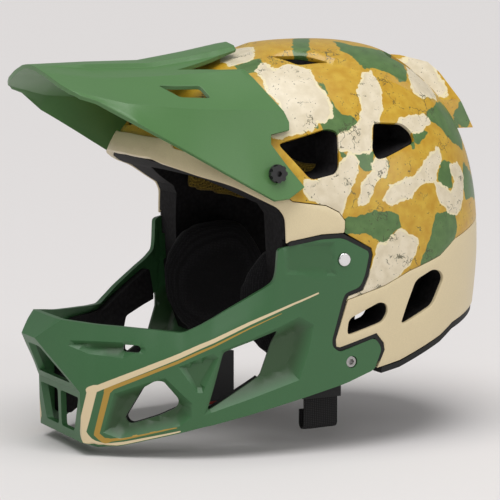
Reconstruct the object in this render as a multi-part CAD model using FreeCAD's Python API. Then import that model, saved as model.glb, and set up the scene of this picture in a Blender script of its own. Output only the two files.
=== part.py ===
"""Full-face trail helmet: two-tone shell, foam liner, slide-on chin bar, tilting visor, pads and chin strap.

Millimetres. The wearer looks along -Y, the wearer's left is +X and up is +Z.
The origin is the middle of the head, between the ears.
"""
import FreeCAD
import Part
import math
import os

V = FreeCAD.Vector

# ---- overall shell -------------------------------------------------------------------------
HALF_WIDTH = 108.5        # widest half width of the shell, above the ears
REACH_FRONT = 150.0       # from the widest section forward to the brow
REACH_BACK = 118.0        # from the widest section back to the nape
CROWN_RISE = 142.0        # from the widest level up to the crown
WIDEST_Y = 16.0
WIDEST_Z = 10.0
PLAN_POWER = 2.2          # roundness of the horizontal sections
RISE_POWER = 2.45         # roundness of the upright sections
TUCK = 0.10               # how far the shell draws in, 100 mm below its widest level
SKIRT_DEPTH = 124.0

# ---- walls and clearances -------------------------------------------------------------------
SHELL_WALL = 2.4
BOND_GAP = 0.3            # between shells and foam, and between neighbouring soft pieces
FOAM_INSET = 28.0         # from the outer surface to the head side of the foam
LUG_WALL = 3.0            # wall of the chin bar where it laps the shell
RUN_GAP = 0.3             # between pieces that move past each other
FLANGE_WALL = 2.2         # recessed flange of the lower shell behind the chin bar lugs
SEAL_WIDTH = 2.4          # rubber seal between chin bar and shell
SEAL_GAP = 0.3
CHIN_WALL = 4.0
CHIN_FOAM = 10.0
VISOR_WALL = 3.0
VISOR_CLEAR = 1.2         # least gap between visor and shell over its whole tilt
VISOR_TILT = 5.0          # the visor tilts this far up and down, in degrees

# ---- visor pivot, chin bar fixings ----------------------------------------------------------
PIVOT_Y, PIVOT_Z = -59.0, 73.0
PIVOT_BORE = 3.0
PIVOT_BOSS = 7.2
INSERT_FLANGE = 7.2
INSERT_DEPTH = 9.0
KNOB_RADIUS = 6.0
BUTTON_Y, BUTTON_Z = -13.6, 15.4
BUTTON_RADIUS = 4.4
BUTTON_BOSS = 6.6
LOCK_Y, LOCK_Z = -5.7, -53.5
LOCK_RADIUS = 3.9
LOCK_BOSS = 5.8
SLIDE_ANGLE = 17.5        # the chin bar draws forward and down at this angle

# ---- strap ----------------------------------------------------------------------------------
WEB_WIDTH = 25.0
WEB_THICK = 1.6
STRAP_X = 80.0
STRAP_Y = -16.5
ANCHOR_Z = -30.0
STRAP_BOTTOM = -100.5
CHANNEL_X = 96.0          # deepest face of the foam's strap channel

BIG = 400.0
slide_dir = V(0, -math.cos(math.radians(SLIDE_ANGLE)), -math.sin(math.radians(SLIDE_ANGLE)))


# ---- tools ----------------------------------------------------------------------------------
def closed_wire(points):
    return Part.makePolygon([V(*p) for p in points] + [V(*points[0])])


def side_prism(outline, x_low=-BIG, x_high=BIG):
    """Outline of (y, z) points, drawn across the helmet from x_low to x_high."""
    face = Part.Face(closed_wire([(x_low, y, z) for y, z in outline]))
    return face.extrude(V(x_high - x_low, 0, 0))


def plan_prism(outline, z_low, z_high):
    """Outline of (x, y) points, drawn up from z_low to z_high."""
    face = Part.Face(closed_wire([(x, y, z_low) for x, y in outline]))
    return face.extrude(V(0, 0, z_high - z_low))


def front_prism(outline, y_low, y_high):
    """Outline of (x, z) points, drawn back from y_low to y_high."""
    face = Part.Face(closed_wire([(x, y_low, z) for x, z in outline]))
    return face.extrude(V(0, y_high - y_low, 0))


def box(x_low, x_high, y_low, y_high, z_low, z_high):
    return Part.makeBox(x_high - x_low, y_high - y_low, z_high - z_low, V(x_low, y_low, z_low))


def rod_x(radius, x_low, x_high, y, z):
    return Part.makeCylinder(radius, x_high - x_low, V(x_low, y, z), V(1, 0, 0))


def mirrored(shape):
    return shape.mirror(V(0, 0, 0), V(1, 0, 0))


def rounded(outline, radius, steps=3):
    """Outline with each corner replaced by a short arc."""
    result = []
    count = len(outline)
    for i in range(count):
        before, here, after = outline[i - 1], outline[i], outline[(i + 1) % count]
        a = V(before[0] - here[0], before[1] - here[1], 0)
        b = V(after[0] - here[0], after[1] - here[1], 0)
        reach = min(radius, 0.45 * a.Length, 0.45 * b.Length)
        a.normalize()
        b.normalize()
        for k in range(steps + 1):
            t = k / steps
            p = a * (reach * (1 - t) ** 2) + b * (reach * t ** 2)
            result.append((here[0] + p.x, here[1] + p.y))
    return result


def grown(outline, distance):
    """Outline moved outwards by a distance (inwards if negative)."""
    result = []
    count = len(outline)
    area = sum(outline[i - 1][0] * outline[i][1] - outline[i][0] * outline[i - 1][1] for i in range(count))
    turn = 1.0 if area > 0 else -1.0
    for i in range(count):
        before, here, after = outline[i - 1], outline[i], outline[(i + 1) % count]
        a = V(here[0] - before[0], here[1] - before[1], 0)
        b = V(after[0] - here[0], after[1] - here[1], 0)
        a.normalize()
        b.normalize()
        na, nb = V(a.y, -a.x, 0) * turn, V(b.y, -b.x, 0) * turn
        n = na + nb
        n.normalize()
        n = n * (distance / max(0.4, n.dot(na)))
        result.append((here[0] + n.x, here[1] + n.y))
    return result


# ---- shell surface --------------------------------------------------------------------------
def level_scale(z, inset):
    """Share of the widest section that is left at a height."""
    if z >= WIDEST_Z:
        t = (z - WIDEST_Z) / (CROWN_RISE - inset)
        return max(0.0, 1 - t ** RISE_POWER) ** (1 / RISE_POWER)
    return 1 - TUCK * ((WIDEST_Z - z) / 100.0) ** 1.5


def shell_x(y, z, inset=0.0):
    """Half width of the surface at a point of its side view."""
    k = level_scale(z, inset)
    reach = (REACH_BACK if y > WIDEST_Y else REACH_FRONT) - inset
    t = abs(y - WIDEST_Y) / (reach * k)
    return (HALF_WIDTH - inset) * k * max(0.0, 1 - t ** PLAN_POWER) ** (1 / PLAN_POWER)


def section_wire(z, inset, count=28):
    k = level_scale(z, inset)
    points = []
    for i in range(count):
        angle = 2 * math.pi * i / count
        c, s = math.cos(angle), math.sin(angle)
        x = math.copysign(abs(c) ** (2 / PLAN_POWER), c) * (HALF_WIDTH - inset) * k
        reach = (REACH_BACK if s > 0 else REACH_FRONT) - inset
        y = math.copysign(abs(s) ** (2 / PLAN_POWER), s) * reach * k + WIDEST_Y
        points.append(V(x, y, z))
    curve = Part.BSplineCurve()
    curve.interpolate(points, PeriodicFlag=True)
    return Part.Wire(curve.toShape())


hull_cache = {}


def hull(inset):
    """Closed solid inside the shell surface moved in by an inset."""
    if inset not in hull_cache:
        rise = CROWN_RISE - inset
        shares = (0.18, 0.36, 0.52, 0.66, 0.78, 0.87, 0.935, 0.975, 0.995)
        heights = [WIDEST_Z - SKIRT_DEPTH, WIDEST_Z - 85, WIDEST_Z - 45, WIDEST_Z - 15, WIDEST_Z]
        heights += [WIDEST_Z + rise * s for s in shares]
        wires = [section_wire(z, inset) for z in heights]
        hull_cache[inset] = Part.makeLoft(wires, True, False)
    return hull_cache[inset]


def skin(outer_inset, inner_inset):
    return hull(outer_inset).cut(hull(inner_inset))


# ---- side view outlines ---------------------------------------------------------------------
CHIN_OUTLINE = [(-192.6, -37), (-180, -24), (-165, -27), (-131, -30), (-117, -31), (-107, -26),
                (-92, -17), (-66, -2.4), (-60, 2), (-58.5, 8), (-57.5, 23.5), (-52.3, 24.9), (-29, 29.2),
                (-14.6, 29.5), (3.5, 20.1), (4.3, 17.5), (1.5, 4.4), (-1.8, -3.4), (-12.1, -6.9),
                (-14, -11.5), (-19.9, -38.1), (-19.6, -42.2), (-14.7, -46.5), (11.2, -38.6),
                (15.4, -43.7), (16.4, -47.2), (11.4, -59.9), (-10.8, -67.7), (-106, -92), (-150, -107),
                (-156, -108), (-170, -105.6), (-171, -71)]
REAR_SPLIT = [(-11.9, -11.6), (16.7, -3.2), (36.1, 5.4), (62.6, 13.2), (78.3, 23), (98.8, 28.5), (160, 36)]
FRONT_SPLIT = [(-170, 95), (-120, 91.5), (-107, 87), (-75, 74), (-54, 61), (-47, 54.5), (-25, 51.3),
               (-16.5, 46.8), (-12.3, 41), (-12.6, 35.5), (-18, 28)]
PORT_EDGE = [(-170, 84), (-134, 81), (-118, 78.5), (-107, 73.6), (-98, 69.7), (-83, 65), (-67, 56),
             (-56, 50), (-52.5, 44), (-52.3, 25), (-50, -30), (-40, -56)]
BOTTOM_EDGE = [(11.4, -59.9), (32, -55.5), (67, -42.3), (80, -35), (110, -28), (160, -26)]

upper_region = FRONT_SPLIT + [(-8, 5), (-10, -8)] + REAR_SPLIT + [(160, 190), (-170, 190)]
lower_region = (PORT_EDGE[:-2] + [(-48, -20), (-42, -56), (-10, -62)] + BOTTOM_EDGE
                + list(reversed(REAR_SPLIT)) + [(-10, -8), (-8, 5)] + list(reversed(FRONT_SPLIT)))
covered_region = PORT_EDGE + BOTTOM_EDGE + [(160, 190), (-170, 190)]
chin_clear = grown(CHIN_OUTLINE, SEAL_WIDTH + 2 * SEAL_GAP)
flange_region = [(-51, 27), (-30, 33), (-12, 33.5), (9, 22.5), (5, -1), (-6, -12), (-10, -36),
                 (14, -33), (22, -47), (15, -62.5), (-14, -64), (-42, -54), (-48, -20)]
recess_region = [(-64, 27)] + flange_region[1:-2] + [(-42, -58), (-64, -58)]

SIDE_VENTS = {
    "front": [(-52, 91), (-18, 100), (-10.6, 98), (-14, 74.6), (-17.3, 71), (-34, 67.4)],
    "rear": [(16.7, 103), (39.4, 101.5), (46, 95.4), (47, 89), (20.5, 79.8), (14.2, 79), (11.6, 85.3)],
    "ear": [(-9, -24.5), (13.4, -14.4), (18.9, -16.2), (20, -21.7), (16.6, -28.2), (-9.5, -36)],
    "nape": [(41.4, -1.7), (56.2, 4.3), (64, 2.2), (67.3, -3), (57.8, -20.4), (34.1, -30.3), (31, -30),
             (34.8, -18.1)],
}
TOP_VENT = [(33.5, -30), (42.5, -12), (54, 4.4), (52.5, -19)]
REAR_TOP_VENT = [(26, 58), (30, 92), (48, 84), (44, 54)]


def vent_cuts(shrink=0.0):
    """Side vents and top vents, through shell and foam on both sides."""
    cuts = []
    for name, outline in SIDE_VENTS.items():
        low = 62.0 if name in ("front", "rear") else 74.0
        piece = side_prism(rounded(grown(outline, -shrink), 4.0), low, BIG)
        cuts += [piece, mirrored(piece)]
    for outline in (TOP_VENT, REAR_TOP_VENT):
        piece = plan_prism(rounded(grown(outline, -shrink), 4.0), 84.0, 200.0)
        cuts += [piece, mirrored(piece)]
    brow = front_prism(rounded([(9, 99), (46, 95), (44, 110), (10, 113)], 3.0), -200.0, -84.0)
    exhaust = front_prism(rounded([(8, 78), (34, 74), (32, 92), (8, 95)], 4.0), 84.0, 200.0)
    for piece in (brow, exhaust):
        cuts += [piece, mirrored(piece)]
    return cuts


# ---- shells and foam ------------------------------------------------------------------------
def upper_shell():
    """Printed outer shell over the crown, sides and back."""
    body = skin(0.0, SHELL_WALL).common(side_prism(upper_region)).cut(side_prism(chin_clear))
    body = body.cut(vent_cuts())
    for side in (1, -1):
        bore = rod_x(PIVOT_BORE + 1.6, 70, 130, PIVOT_Y, PIVOT_Z)
        body = body.cut(bore if side > 0 else mirrored(bore))
    return body


def flange_slots():
    """Open-ended tracks that the chin bar's bosses draw out of."""
    cuts = []
    for y, z, radius in ((BUTTON_Y, BUTTON_Z, BUTTON_BOSS), (LOCK_Y, LOCK_Z, LOCK_BOSS)):
        half = radius + RUN_GAP
        across = V(0, -slide_dir.z, slide_dir.y) * half
        start, end = V(0, y, z), V(0, y, z) + slide_dir * 90
        track = side_prism([(p.y, p.z) for p in (start + across, end + across, end - across, start - across)],
                           60, 130)
        track = track.fuse(rod_x(half, 60, 130, y, z))
        cuts += [track, mirrored(track)]
    return cuts


def lower_shell():
    """Plain outer shell: brow band, lugs' flange, ear prong and the back of the neck."""
    region = side_prism(lower_region).cut(side_prism(upper_region))
    outside = skin(0.0, SHELL_WALL).common(region).cut(side_prism(chin_clear))
    inner = LUG_WALL + RUN_GAP
    flange = skin(inner, inner + FLANGE_WALL).common(side_prism(flange_region))
    rim = skin(0.0, inner + FLANGE_WALL).common(side_prism(grown(chin_clear, 3.0)))
    rim = rim.cut(side_prism(chin_clear)).common(region).common(side_prism(flange_region))
    body = outside.fuse([flange.common(side_prism(lower_region).fuse(side_prism(chin_clear))), rim])
    body = body.cut(flange_slots())
    return body.cut(vent_cuts())


def foam_liner():
    """Moulded foam under both shells."""
    body = skin(SHELL_WALL + BOND_GAP, FOAM_INSET).common(side_prism(grown(covered_region, -BOND_GAP)))
    depth = LUG_WALL + RUN_GAP + FLANGE_WALL + BOND_GAP
    recess = skin(-2.0, depth).common(side_prism(grown(recess_region, BOND_GAP)))
    body = body.cut(recess).cut(vent_cuts())
    pocket_depth = depth + 4.4
    for y, z, radius in ((BUTTON_Y, BUTTON_Z, BUTTON_BOSS + 2.6), (LOCK_Y, LOCK_Z, LOCK_BOSS + 2.4)):
        across = V(0, -slide_dir.z, slide_dir.y) * radius
        start, end = V(0, y, z) - slide_dir * 3, V(0, y, z) + slide_dir * 90
        track = side_prism([(p.y, p.z) for p in (start + across, end + across, end - across, start - across)])
        track = track.fuse(rod_x(radius, -BIG, BIG, y, z))
        body = body.cut(track.common(skin(-2.0, pocket_depth)))
    for side in (1, -1):
        seat = rod_x(INSERT_FLANGE + 0.05, shell_x(PIVOT_Y, PIVOT_Z) - INSERT_DEPTH - 0.05, 130, PIVOT_Y, PIVOT_Z)
        channel = box(STRAP_X - 1.4, CHANNEL_X, STRAP_Y - WEB_WIDTH / 2 - 1.5, STRAP_Y + WEB_WIDTH / 2 + 1.5, -80, -14)
        pockets = [rod_x(STUD_RADIUS + 0.05, 60, STUD_END + 0.05, y, z) for y, z in CHEEK_STUDS]
        for cut in [seat, channel] + pockets:
            body = body.cut(cut if side > 0 else mirrored(cut))
    return body


def rear_cover():
    """Hollow fin over the exhaust slots at the back of the crown, open behind."""
    roof = [(58, 139), (67, 143.5), (82.6, 142.5), (102, 137.5), (108, 129.2), (119.2, 109), (127, 92), (58, 92)]
    arch = [(-40, 90), (-37, 112), (-26, 131), (-12, 143.6), (12, 143.6), (26, 131), (37, 112), (40, 90)]
    outer = side_prism(roof).common(front_prism(arch, 50, 140))
    inner = side_prism(grown(roof, -2.6)).common(front_prism(grown(arch, -2.6), 50, 140))
    mouth = front_prism(rounded([(-20, 112), (20, 112), (17, 124), (-17, 124)], 3.0), 100, 140)
    return outer.cut(inner).cut(mouth).cut(hull(-BOND_GAP))


# ---- chin bar -------------------------------------------------------------------------------
CHIN_SIDE = [(11.7, -192.6), (38.1, -168.7), (60, -141), (76, -119.5), (87, -99), (94.5, -75), (100.4, -43),
             (104, -8), (104.5, 30)]


def chin_prism(offset):
    """Upright block inside the chin bar's outer plan, moved in by an offset."""
    steps = 3
    bends = rounded(CHIN_SIDE, 20.0, steps)[2 * (steps + 1):-(steps + 1)]
    left = CHIN_SIDE[:2] + bends + CHIN_SIDE[-1:]
    outline = left + [(-x, y) for x, y in reversed(left)]
    if offset:
        outline = grown(outline, -offset)
    return plan_prism(outline, -130, 70)


def chin_block(offset):
    return chin_prism(offset).cut(box(-BIG, BIG, -45.0, BIG, -200, 200))


CHIN_WINDOWS = [
    [(-149, -88), (-139, -67.5), (-131.5, -61.5), (-127.5, -61.5), (-119, -74), (-120.5, -80), (-131, -86),
     (-146, -92)],
    [(-103, -81), (-92.5, -42), (-57, -29), (-68, -60)],
]
UPPER_SLOT = [(-150, -39), (-140, -39), (-140, -44.5), (-150, -44.5)]


def chin_window_cuts():
    cuts = []
    for outline in CHIN_WINDOWS + [UPPER_SLOT]:
        piece = side_prism(rounded(outline, 2.5), 34, BIG)
        cuts += [piece, mirrored(piece)]
    upper = [(-10, -43), (10, -43), (28, -66), (-28, -66)]
    lower_left = [(2.5, -75), (33, -75), (24, -99), (2.5, -99)]
    lower_right = [(-x, z) for x, z in reversed(lower_left)]
    for outline in (upper, lower_left, lower_right):
        cuts.append(front_prism(rounded(outline, 2.5), -230, -120))
    return cuts


def chin_front_wall():
    """Nose, slanted mouth face, upright lower face and floor of the chin bar."""
    band = [(-192.6, -37), (-180, -24), (-165, -27), (-165, -31), (-178, -28.5), (-187, -37.5),
            (-166.8, -70), (-165.8, -101.5), (-150, -103), (-150, -107), (-156, -108), (-170, -105.6), (-171, -71)]
    return side_prism(band).common(chin_prism(0.0))


def chin_bosses():
    bosses = []
    for y, z, radius in ((BUTTON_Y, BUTTON_Z, BUTTON_BOSS), (LOCK_Y, LOCK_Z, LOCK_BOSS)):
        face_x = shell_x(y, z)
        bosses.append(rod_x(radius, face_x - LUG_WALL - 5.0, face_x - LUG_WALL + 0.6, y, z))
    return bosses


def chin_bar_shell():
    """Chin bar moulding: lugs that lap the shell, two side windows and a split mouth opening."""
    front = chin_block(0.0).cut(chin_block(CHIN_WALL))
    lugs = skin(0.0, LUG_WALL).common(box(-BIG, BIG, -58, 40, -130, 60))
    inside = hull(LUG_WALL).common(box(-BIG, BIG, -60, 40, -130, 60))
    body = front.cut(inside).fuse([lugs, chin_front_wall()]).common(side_prism(CHIN_OUTLINE))
    for boss in chin_bosses():
        body = body.fuse([boss, mirrored(boss)])
    body = body.cut(chin_window_cuts())
    for y, z, radius, floor in ((BUTTON_Y, BUTTON_Z, BUTTON_RADIUS, 6.0), (LOCK_Y, LOCK_Z, LOCK_RADIUS, 4.5)):
        pocket = rod_x(radius + 0.06, shell_x(y, z) - floor, 130, y, z)
        body = body.cut([pocket, mirrored(pocket)])
    return body


def chin_bar_liner():
    """Dark foam lining of the chin bar's left side."""
    outline = [(-162, -38), (-154, -33), (-117, -34.5), (-104, -27), (-68, -7), (-64, -30), (-70, -78),
               (-106, -87), (-156, -102), (-162, -98)]
    body = chin_block(CHIN_WALL + BOND_GAP).cut(chin_block(CHIN_WALL + CHIN_FOAM))
    body = body.common(side_prism(outline, 18, BIG)).cut(chin_window_cuts())
    return body.common(box(18, BIG, -162, -50, -120, 0))


def chin_pad():
    """Soft pad behind the mouth bridge."""
    outline = [(-166.3, -66.5), (-158, -67), (-157, -70), (-158, -73.5), (-165.9, -73.5), (-166.5, -70)]
    return side_prism(outline, -22, 22)


def chin_seal():
    """Rubber seal along the back edge of the left lug."""
    band = side_prism(grown(CHIN_OUTLINE, SEAL_GAP + SEAL_WIDTH)).cut(side_prism(grown(CHIN_OUTLINE, 0.0)))
    back = [(-50, 20), (-50, 40), (14, 40), (14, -28), (26, -40), (20, -56.5), (8, -52), (-24, -58), (-24, 0)]
    return skin(0.4, LUG_WALL).common(band).common(side_prism(back, 0, BIG))


def release_button():
    face_x = shell_x(BUTTON_Y, BUTTON_Z)
    body = rod_x(BUTTON_RADIUS, face_x - 4.0, face_x + 1.2, BUTTON_Y, BUTTON_Z)
    rim = [e for e in body.Edges if abs(e.BoundBox.XMin - (face_x + 1.2)) < 0.01 and e.BoundBox.XLength < 0.01]
    return body.makeFillet(0.8, rim)


def catch_clip():
    """U-shaped spring clip that grips the button boss."""
    face_x = shell_x(BUTTON_Y, BUTTON_Z)
    low = face_x - LUG_WALL - RUN_GAP - FLANGE_WALL - BOND_GAP - 3.1
    inner, outer = BUTTON_BOSS + RUN_GAP, BUTTON_BOSS + RUN_GAP + 1.2
    across = V(0, -slide_dir.z, slide_dir.y)
    start, end = V(0, BUTTON_Y, BUTTON_Z), V(0, BUTTON_Y, BUTTON_Z) + slide_dir * 9
    body = rod_x(outer, low, low + 1.6, BUTTON_Y, BUTTON_Z)
    arms = side_prism([(p.y, p.z) for p in (start + across * outer, end + across * outer,
                                            end - across * outer, start - across * outer)], low, low + 1.6)
    hole = rod_x(inner, low - 1, low + 3, BUTTON_Y, BUTTON_Z)
    mouth_end = V(0, BUTTON_Y, BUTTON_Z) + slide_dir * 20
    mouth = side_prism([(p.y, p.z) for p in (start + across * inner, mouth_end + across * inner,
                                             mouth_end - across * inner, start - across * inner)],
                       low - 1, low + 3)
    return body.fuse(arms).cut([hole, mouth])


def hex_cut(x_low, x_high, y, z, radius):
    outline = [(y + radius * math.cos(math.radians(60 * i)), z + radius * math.sin(math.radians(60 * i)))
               for i in range(6)]
    return side_prism(outline, x_low, x_high)


def lock_screw():
    """Quarter-turn screw with a hexagon socket in the lower lug."""
    face_x = shell_x(LOCK_Y, LOCK_Z)
    body = rod_x(LOCK_RADIUS, face_x - 4.2, face_x + 0.9, LOCK_Y, LOCK_Z)
    rim = [e for e in body.Edges if abs(e.BoundBox.XMin - (face_x + 0.9)) < 0.01 and e.BoundBox.XLength < 0.01]
    body = body.makeFillet(0.5, rim)
    return body.cut(hex_cut(face_x - 1.8, face_x + 3, LOCK_Y, LOCK_Z, 2.2))


# ---- visor ----------------------------------------------------------------------------------
VISOR_STATIONS = [
    (-196, [(0, 141.6), (10, 140.8), (25, 137.0), (50, 129.5), (62, 124.0)]),
    (-150, [(0, 142.6), (12, 141.8), (38, 136.0), (72, 121.5), (83, 109.5)]),
    (-110, [(0, 142.8), (14, 141.5), (43, 137.0), (79, 117.5), (93, 84.0)]),
    (-75, [(0, 148.6), (16, 146.5), (50, 139.0), (82.5, 116.0), (100, 62.0)]),
    (-30, [(0, 156.5), (16, 155.0), (56, 141.0), (86, 114.0), (108.5, 54.0)]),
]
VISOR_SIDE = [(-192, 146), (-191, 138), (-186, 128), (-170, 117.5), (-149, 110), (-62, 58.5), (-52, 59.5),
              (-40.6, 66.4), (-50.8, 81), (-59, 94), (-58, 100), (-44.8, 102.4), (-44, 107.4), (-46.4, 114.2),
              (-50.7, 123.5), (-55.3, 134.5), (-50, 141), (-46, 152), (-80, 158), (-190, 158)]
VISOR_PLAN = [(0, -190.5), (12, -190), (30, -188.5), (45, -186.5), (55, -183.5), (61, -179), (66, -170),
              (80, -149), (100, -110), (125, -30), (0, -30)]


def visor_block(drop):
    """Arched block under the visor's top surface, lowered by a drop measured square to the surface."""
    wires = []
    for y, half in VISOR_STATIONS:
        lean = [(0.0, 1.0), (0.12, 1.0), (0.4, 0.95), (0.8, 0.65), (1.0, 0.2)]
        points = [(x - drop * a, z - drop * b) for (x, z), (a, b) in zip(half, lean)]
        full = [(-x, z) for x, z in reversed(points[1:])] + points
        wires.append(closed_wire([(x, y, z) for x, z in full] + [(points[-1][0], y, 0), (-points[-1][0], y, 0)]))
    return Part.makeLoft(wires, True, True)


def visor_face_x():
    """Outer face of the visor's wing at the pivot."""
    low, high = VISOR_STATIONS[3], VISOR_STATIONS[4]
    t = (PIVOT_Y - low[0]) / (high[0] - low[0])
    crease = [low[1][3][k] * (1 - t) + high[1][3][k] * t for k in (0, 1)]
    edge = [low[1][4][k] * (1 - t) + high[1][4][k] * t for k in (0, 1)]
    s = (PIVOT_Z - crease[1]) / (edge[1] - crease[1])
    return crease[0] * (1 - s) + edge[0] * s


def washer_end_x():
    """Outer face of the pivot washer."""
    return visor_face_x() - VISOR_WALL - 3.3


def visor():
    """Peak with a raised middle rib, creased sides and wings down to its pivots."""
    plan = VISOR_PLAN + [(-x, y) for x, y in reversed(VISOR_PLAN[1:-1])]
    body = visor_block(0.0).cut(visor_block(VISOR_WALL))
    body = body.common(plan_prism(plan, 0, 200)).common(side_prism(VISOR_SIDE))
    inner, seat = washer_end_x() + RUN_GAP, visor_face_x() + 0.3
    boss = rod_x(PIVOT_BOSS, inner, seat - 1.0, PIVOT_Y, PIVOT_Z)
    body = body.fuse([boss, mirrored(boss)])
    clear = hull(-VISOR_CLEAR)
    body = body.cut(clear)
    for turn in (-VISOR_TILT - 0.5, VISOR_TILT + 0.5):
        body = body.cut(clear.rotated(V(0, PIVOT_Y, PIVOT_Z), V(1, 0, 0), turn))
    gap = plan_prism(rounded([(19, -40), (20, -62), (32, -98), (46, -72), (50, -40)], 2.0), 90, 200)
    slot = plan_prism(rounded([(52, -121), (66, -112), (70, -92), (58, -94)], 2.0), 90, 200)
    body = body.cut([gap, mirrored(gap), slot, mirrored(slot)])
    for low, high, radius in ((70, inner, PIVOT_BOSS + 0.6), (seat, 140, KNOB_RADIUS + 0.6),
                              (70, 130, PIVOT_BORE + 0.05)):
        bore = rod_x(radius, low, high, PIVOT_Y, PIVOT_Z)
        body = body.cut([bore, mirrored(bore)])
    return body


def visor_knob():
    """Lobed thumb screw through the visor's wing."""
    face = visor_face_x() + 0.3 + RUN_GAP
    head = rod_x(KNOB_RADIUS, face, face + 3.6, PIVOT_Y, PIVOT_Z)
    for i in range(8):
        angle = math.radians(45 * i + 22.5)
        y, z = PIVOT_Y + 6.6 * math.cos(angle), PIVOT_Z + 6.6 * math.sin(angle)
        head = head.cut(rod_x(1.5, face + 0.8, face + 5, y, z))
    stem = rod_x(PIVOT_BORE, shell_x(PIVOT_Y, PIVOT_Z) - 6.0, face, PIVOT_Y, PIVOT_Z)
    return head.fuse(stem).cut(hex_cut(face + 1.5, face + 5, PIVOT_Y, PIVOT_Z, 2.0))


def visor_washer():
    """Nylon washer between shell and wing, shaped to the shell behind."""
    body = rod_x(PIVOT_BOSS, 80, washer_end_x(), PIVOT_Y, PIVOT_Z).cut(hull(-0.05))
    body = body.cut(rod_x(PIVOT_BORE + 1.6, 70, shell_x(PIVOT_Y, PIVOT_Z) - 0.95, PIVOT_Y, PIVOT_Z))
    return body.cut(rod_x(PIVOT_BORE + 0.06, 70, 130, PIVOT_Y, PIVOT_Z))


def visor_insert():
    """Threaded sleeve bonded into shell and foam behind the visor pivot."""
    face = shell_x(PIVOT_Y, PIVOT_Z)
    body = rod_x(PIVOT_BORE + 1.6 - 0.02, face - INSERT_DEPTH, face - 1.0, PIVOT_Y, PIVOT_Z)
    flange = rod_x(INSERT_FLANGE, face - INSERT_DEPTH, face - INSERT_DEPTH + 1.8, PIVOT_Y, PIVOT_Z)
    return body.fuse(flange).cut(rod_x(PIVOT_BORE + 0.06, face - 7.0, face + 3, PIVOT_Y, PIVOT_Z))


# ---- pads -----------------------------------------------------------------------------------
def pad_layer(region, thickness):
    inner = FOAM_INSET + BOND_GAP
    return skin(inner, inner + thickness).common(region)


def crown_pad():
    ring = plan_prism(rounded([(-30, -44), (30, -44), (44, 0), (34, 64), (-34, 64), (-44, 0)], 12), 60, 200)
    return pad_layer(ring, 8.0)


def brow_pad():
    return pad_layer(side_prism([(-140, 104), (-140, 82), (-52, 66), (-52, 94)]), 8.0)


def temple_pad():
    region = side_prism([(-47, 84), (-47, 46), (22, 30), (26, 70)], 0, BIG)
    return pad_layer(region, 7.0)


def nape_pad():
    return pad_layer(side_prism([(42, 40), (42, 8), (140, -22), (140, 22)]), 9.0)


CHEEK_STUDS = [(-36, 6), (4, -40)]
STUD_RADIUS = 4.0
STUD_END = 84.0
CHEEK_PAD_X = 77.6        # outer side of the cheek pad


def cheek_pad():
    """Thick removable pad in front of the ear."""
    outline = rounded([(-72, -6), (-50, 22), (-6, 26), (14, 4), (18, -30), (4, -56), (-40, -62), (-66, -40)], 8)
    inner = FOAM_INSET + BOND_GAP
    return hull(inner).common(side_prism(outline, 56, CHEEK_PAD_X))


def cheek_studs():
    """Snap studs that hold the left cheek pad to the foam."""
    studs = []
    for y, z in CHEEK_STUDS:
        studs.append(rod_x(STUD_RADIUS, CHEEK_PAD_X + BOND_GAP, STUD_END, y, z))
    return studs


# ---- strap and buckle -----------------------------------------------------------------------
def web_box(x_low, x_high, z_low, z_high):
    return box(x_low, x_high, STRAP_Y - WEB_WIDTH / 2, STRAP_Y + WEB_WIDTH / 2, z_low, z_high)


FOLD_GAP = 5.0
TONGUE_WALL = 2.2
TONGUE_DEPTH = 3.2        # with its teeth


def strap_left():
    """Long webbing: hangs from its anchor and folds back up on itself."""
    x0, x1 = STRAP_X, STRAP_X + WEB_THICK
    radius = FOLD_GAP / 2
    turn_z = STRAP_BOTTOM + radius + WEB_THICK
    run = web_box(x0, x1, turn_z, ANCHOR_Z + 10)
    back = web_box(x0 - FOLD_GAP - WEB_THICK, x0 - FOLD_GAP, turn_z, -88)
    axis = V(x0 - radius, STRAP_Y - WEB_WIDTH / 2, turn_z)
    turn = Part.makeCylinder(radius + WEB_THICK, WEB_WIDTH, axis, V(0, 1, 0))
    turn = turn.cut(Part.makeCylinder(radius, WEB_WIDTH, axis, V(0, 1, 0)))
    turn = turn.common(box(0, 200, -100, 100, -200, turn_z))
    body = run.fuse([back, turn])
    return body.cut(rod_x(2.6, 60, 100, STRAP_Y, ANCHOR_Z))


def strap_right():
    x0, x1 = STRAP_X, STRAP_X + WEB_THICK
    body = web_box(x0, x1, -74, ANCHOR_Z + 10).cut(rod_x(2.6, 60, 100, STRAP_Y, ANCHOR_Z))
    return mirrored(body)


def strap_anchor():
    """Rivet and plate that hold the left webbing to the foam's insert."""
    plate = rod_x(9.0, STRAP_X + WEB_THICK, STRAP_X + WEB_THICK + 1.5, STRAP_Y, ANCHOR_Z)
    shank = rod_x(2.58, STRAP_X - 1.0, STRAP_X + WEB_THICK, STRAP_Y, ANCHOR_Z)
    head = rod_x(5.5, STRAP_X - 1.3, STRAP_X - 0.02, STRAP_Y, ANCHOR_Z)
    post = rod_x(4.0, STRAP_X + WEB_THICK + 1.5, CHANNEL_X - 0.05, STRAP_Y, ANCHOR_Z)
    return plate.fuse([shank, head, post])


def strap_keeper():
    """Rubber band round both runs of the left strap."""
    z0, wall = -70.0, 1.4
    x0 = STRAP_X - FOLD_GAP - TONGUE_DEPTH - RUN_GAP
    x1 = STRAP_X + WEB_THICK + RUN_GAP
    y0, y1 = STRAP_Y - WEB_WIDTH / 2 - RUN_GAP, STRAP_Y + WEB_WIDTH / 2 + RUN_GAP
    outer = box(x0 - wall, x1 + wall, y0 - wall, y1 + wall, z0 - 10, z0)
    return outer.cut(box(x0, x1, y0, y1, z0 - 11, z0 + 1))


BUCKLE_TOP = -74.0
BUCKLE_LENGTH = 36.0


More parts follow.
